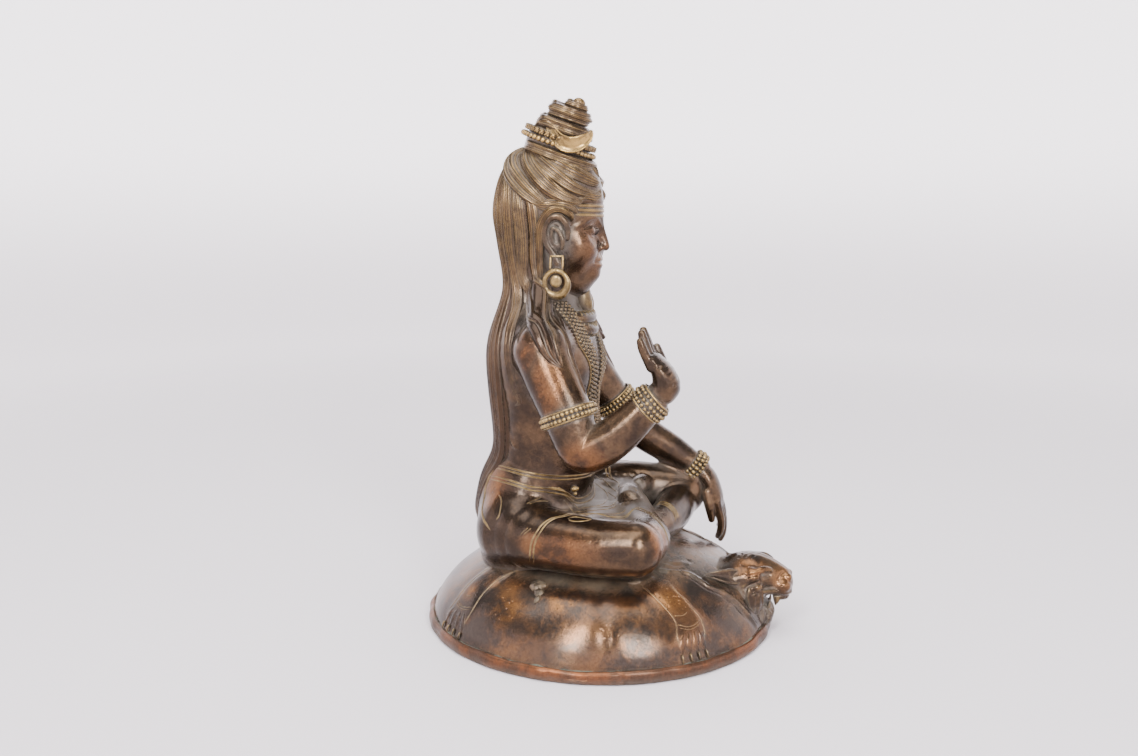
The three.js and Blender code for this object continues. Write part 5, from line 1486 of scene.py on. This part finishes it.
def paper_painted_light():
    """Pale paper with painted shade, darker on the floor and brighter as it rises into the wall round the
    figure, and painted light: it glows, a little on the floor further out and most on the wall.
    """
    paper = bpy.data.materials.new("pale_paper_painted_light")
    paper.use_nodes = True
    tree = paper.node_tree
    surface = tree.nodes["Principled BSDF"].inputs
    spot = node(tree, "ShaderNodeSeparateXYZ",
                Vector=node(tree, "ShaderNodeTexCoord").outputs["Object"]).outputs
    x2, y2 = (calc(tree, "MULTIPLY", spot[k], spot[k]) for k in "XY")
    away = calc(tree, "ADD", x2, y2)
    # Painted shade: the paper's colour is darker on the floor than on the wall
    shade = mixed(tree, span(tree, spot["Z"], 0.0, 0.35, soft=True), (0.58, 0.543, 0.57),
                  (0.97, 0.945, 0.965))
    tree.links.new(shade, surface["Base Color"])
    # Painted light: the paper glows, more on the floor further out and most on the wall
    rise = span(tree, spot["Z"], 0.0, 0.42, soft=True)
    floor_glow = mixed(tree, span(tree, away, 0.1, 1.4, soft=True), grey(0.0), (0.62, 0.575, 0.60))
    tree.links.new(mixed(tree, rise, floor_glow, (1.15, 1.08, 1.12)), surface["Emission Color"])
    surface["Emission Strength"].default_value = 1.0
    surface["Roughness"].default_value = 0.75
    return paper


def paper_dish(around=96, flat=1.3, bend=0.9, wall=1.5):
    """Paper that lies flat under the figure and bends up into a low wall all round it, in metres."""
    turn = np.linspace(0, 2 * math.pi, around, endpoint=False)
    arc = [(flat + bend * math.sin(t), bend - bend * math.cos(t))
           for t in np.linspace(0.1, math.pi / 2, 14)]
    outline = [(0.25, 0), (0.8, 0), (flat, 0)] + arc + [(flat + bend, wall)]
    rings = np.array([np.stack([r * np.sin(turn), -r * np.cos(turn), np.full(around, h)], 1)
                      for r, h in outline])
    k = np.arange(around)
    following = (k + 1) % around
    faces = [tuple(range(around))]
    for i in range(len(outline) - 1):
        low, high = i * around, (i + 1) * around
        faces += np.stack([low + k, high + k, high + following, low + following], 1).tolist()
    sweep = bpy.data.meshes.new("floor")
    sweep.from_pydata(rings.reshape(-1, 3).tolist(), [], faces)
    sweep.polygons.foreach_set("use_smooth", np.ones(len(sweep.polygons), bool))
    sweep.materials.append(paper_painted_light())
    floor = bpy.data.objects.new("floor", sweep)
    bpy.context.scene.collection.objects.link(floor)
    return floor


def aim(thing, at, towards):
    thing.location = at
    thing.rotation_euler = (Vector(towards) - Vector(at)).to_track_quat("-Z", "Y").to_euler()


# Lamps: place, width and length in metres, power in watts. All of them face the figure's middle.
LAMPS = {"soft_left": ((-1.10, 0.22, 1.0), (0.30, 0.55), 20),
         "soft_right": ((-0.95, -0.70, 0.85), (0.30, 0.55), 19),
         "soft_top": ((-0.1, 0.1, 1.4), (1.3, 1.3), 31)}
FIGURE_MIDDLE = (0, 0, 0.12)
# The photograph's camera: place, the way that it looks, and lens in millimetres
CAMERA_AT = np.array([-0.546, -0.109, 0.2303])
CAMERA_WAY = np.array([0.95986, 0.22160, -0.17193])
CAMERA_LENS = 33.2

paper_dish()

world = bpy.data.worlds.new("studio")
world.use_nodes = True
sky = world.node_tree.nodes["Background"].inputs
sky["Color"].default_value = (0.93, 0.92, 0.94, 1)
sky["Strength"].default_value = 1.0
bpy.context.scene.world = world

for name, (place, size, power) in LAMPS.items():
    light = bpy.data.lights.new(name, "AREA")
    light.shape = "RECTANGLE"
    light.size, light.size_y = size
    light.energy = power
    lamp = bpy.data.objects.new(name, light)
    bpy.context.scene.collection.objects.link(lamp)
    aim(lamp, place, FIGURE_MIDDLE)

camera_data = bpy.data.cameras.new("camera")
camera_data.lens = CAMERA_LENS
camera_data.clip_start = 0.01
camera = bpy.data.objects.new("camera", camera_data)
bpy.context.scene.collection.objects.link(camera)
aim(camera, CAMERA_AT, CAMERA_AT + CAMERA_WAY)
bpy.context.scene.camera = camera
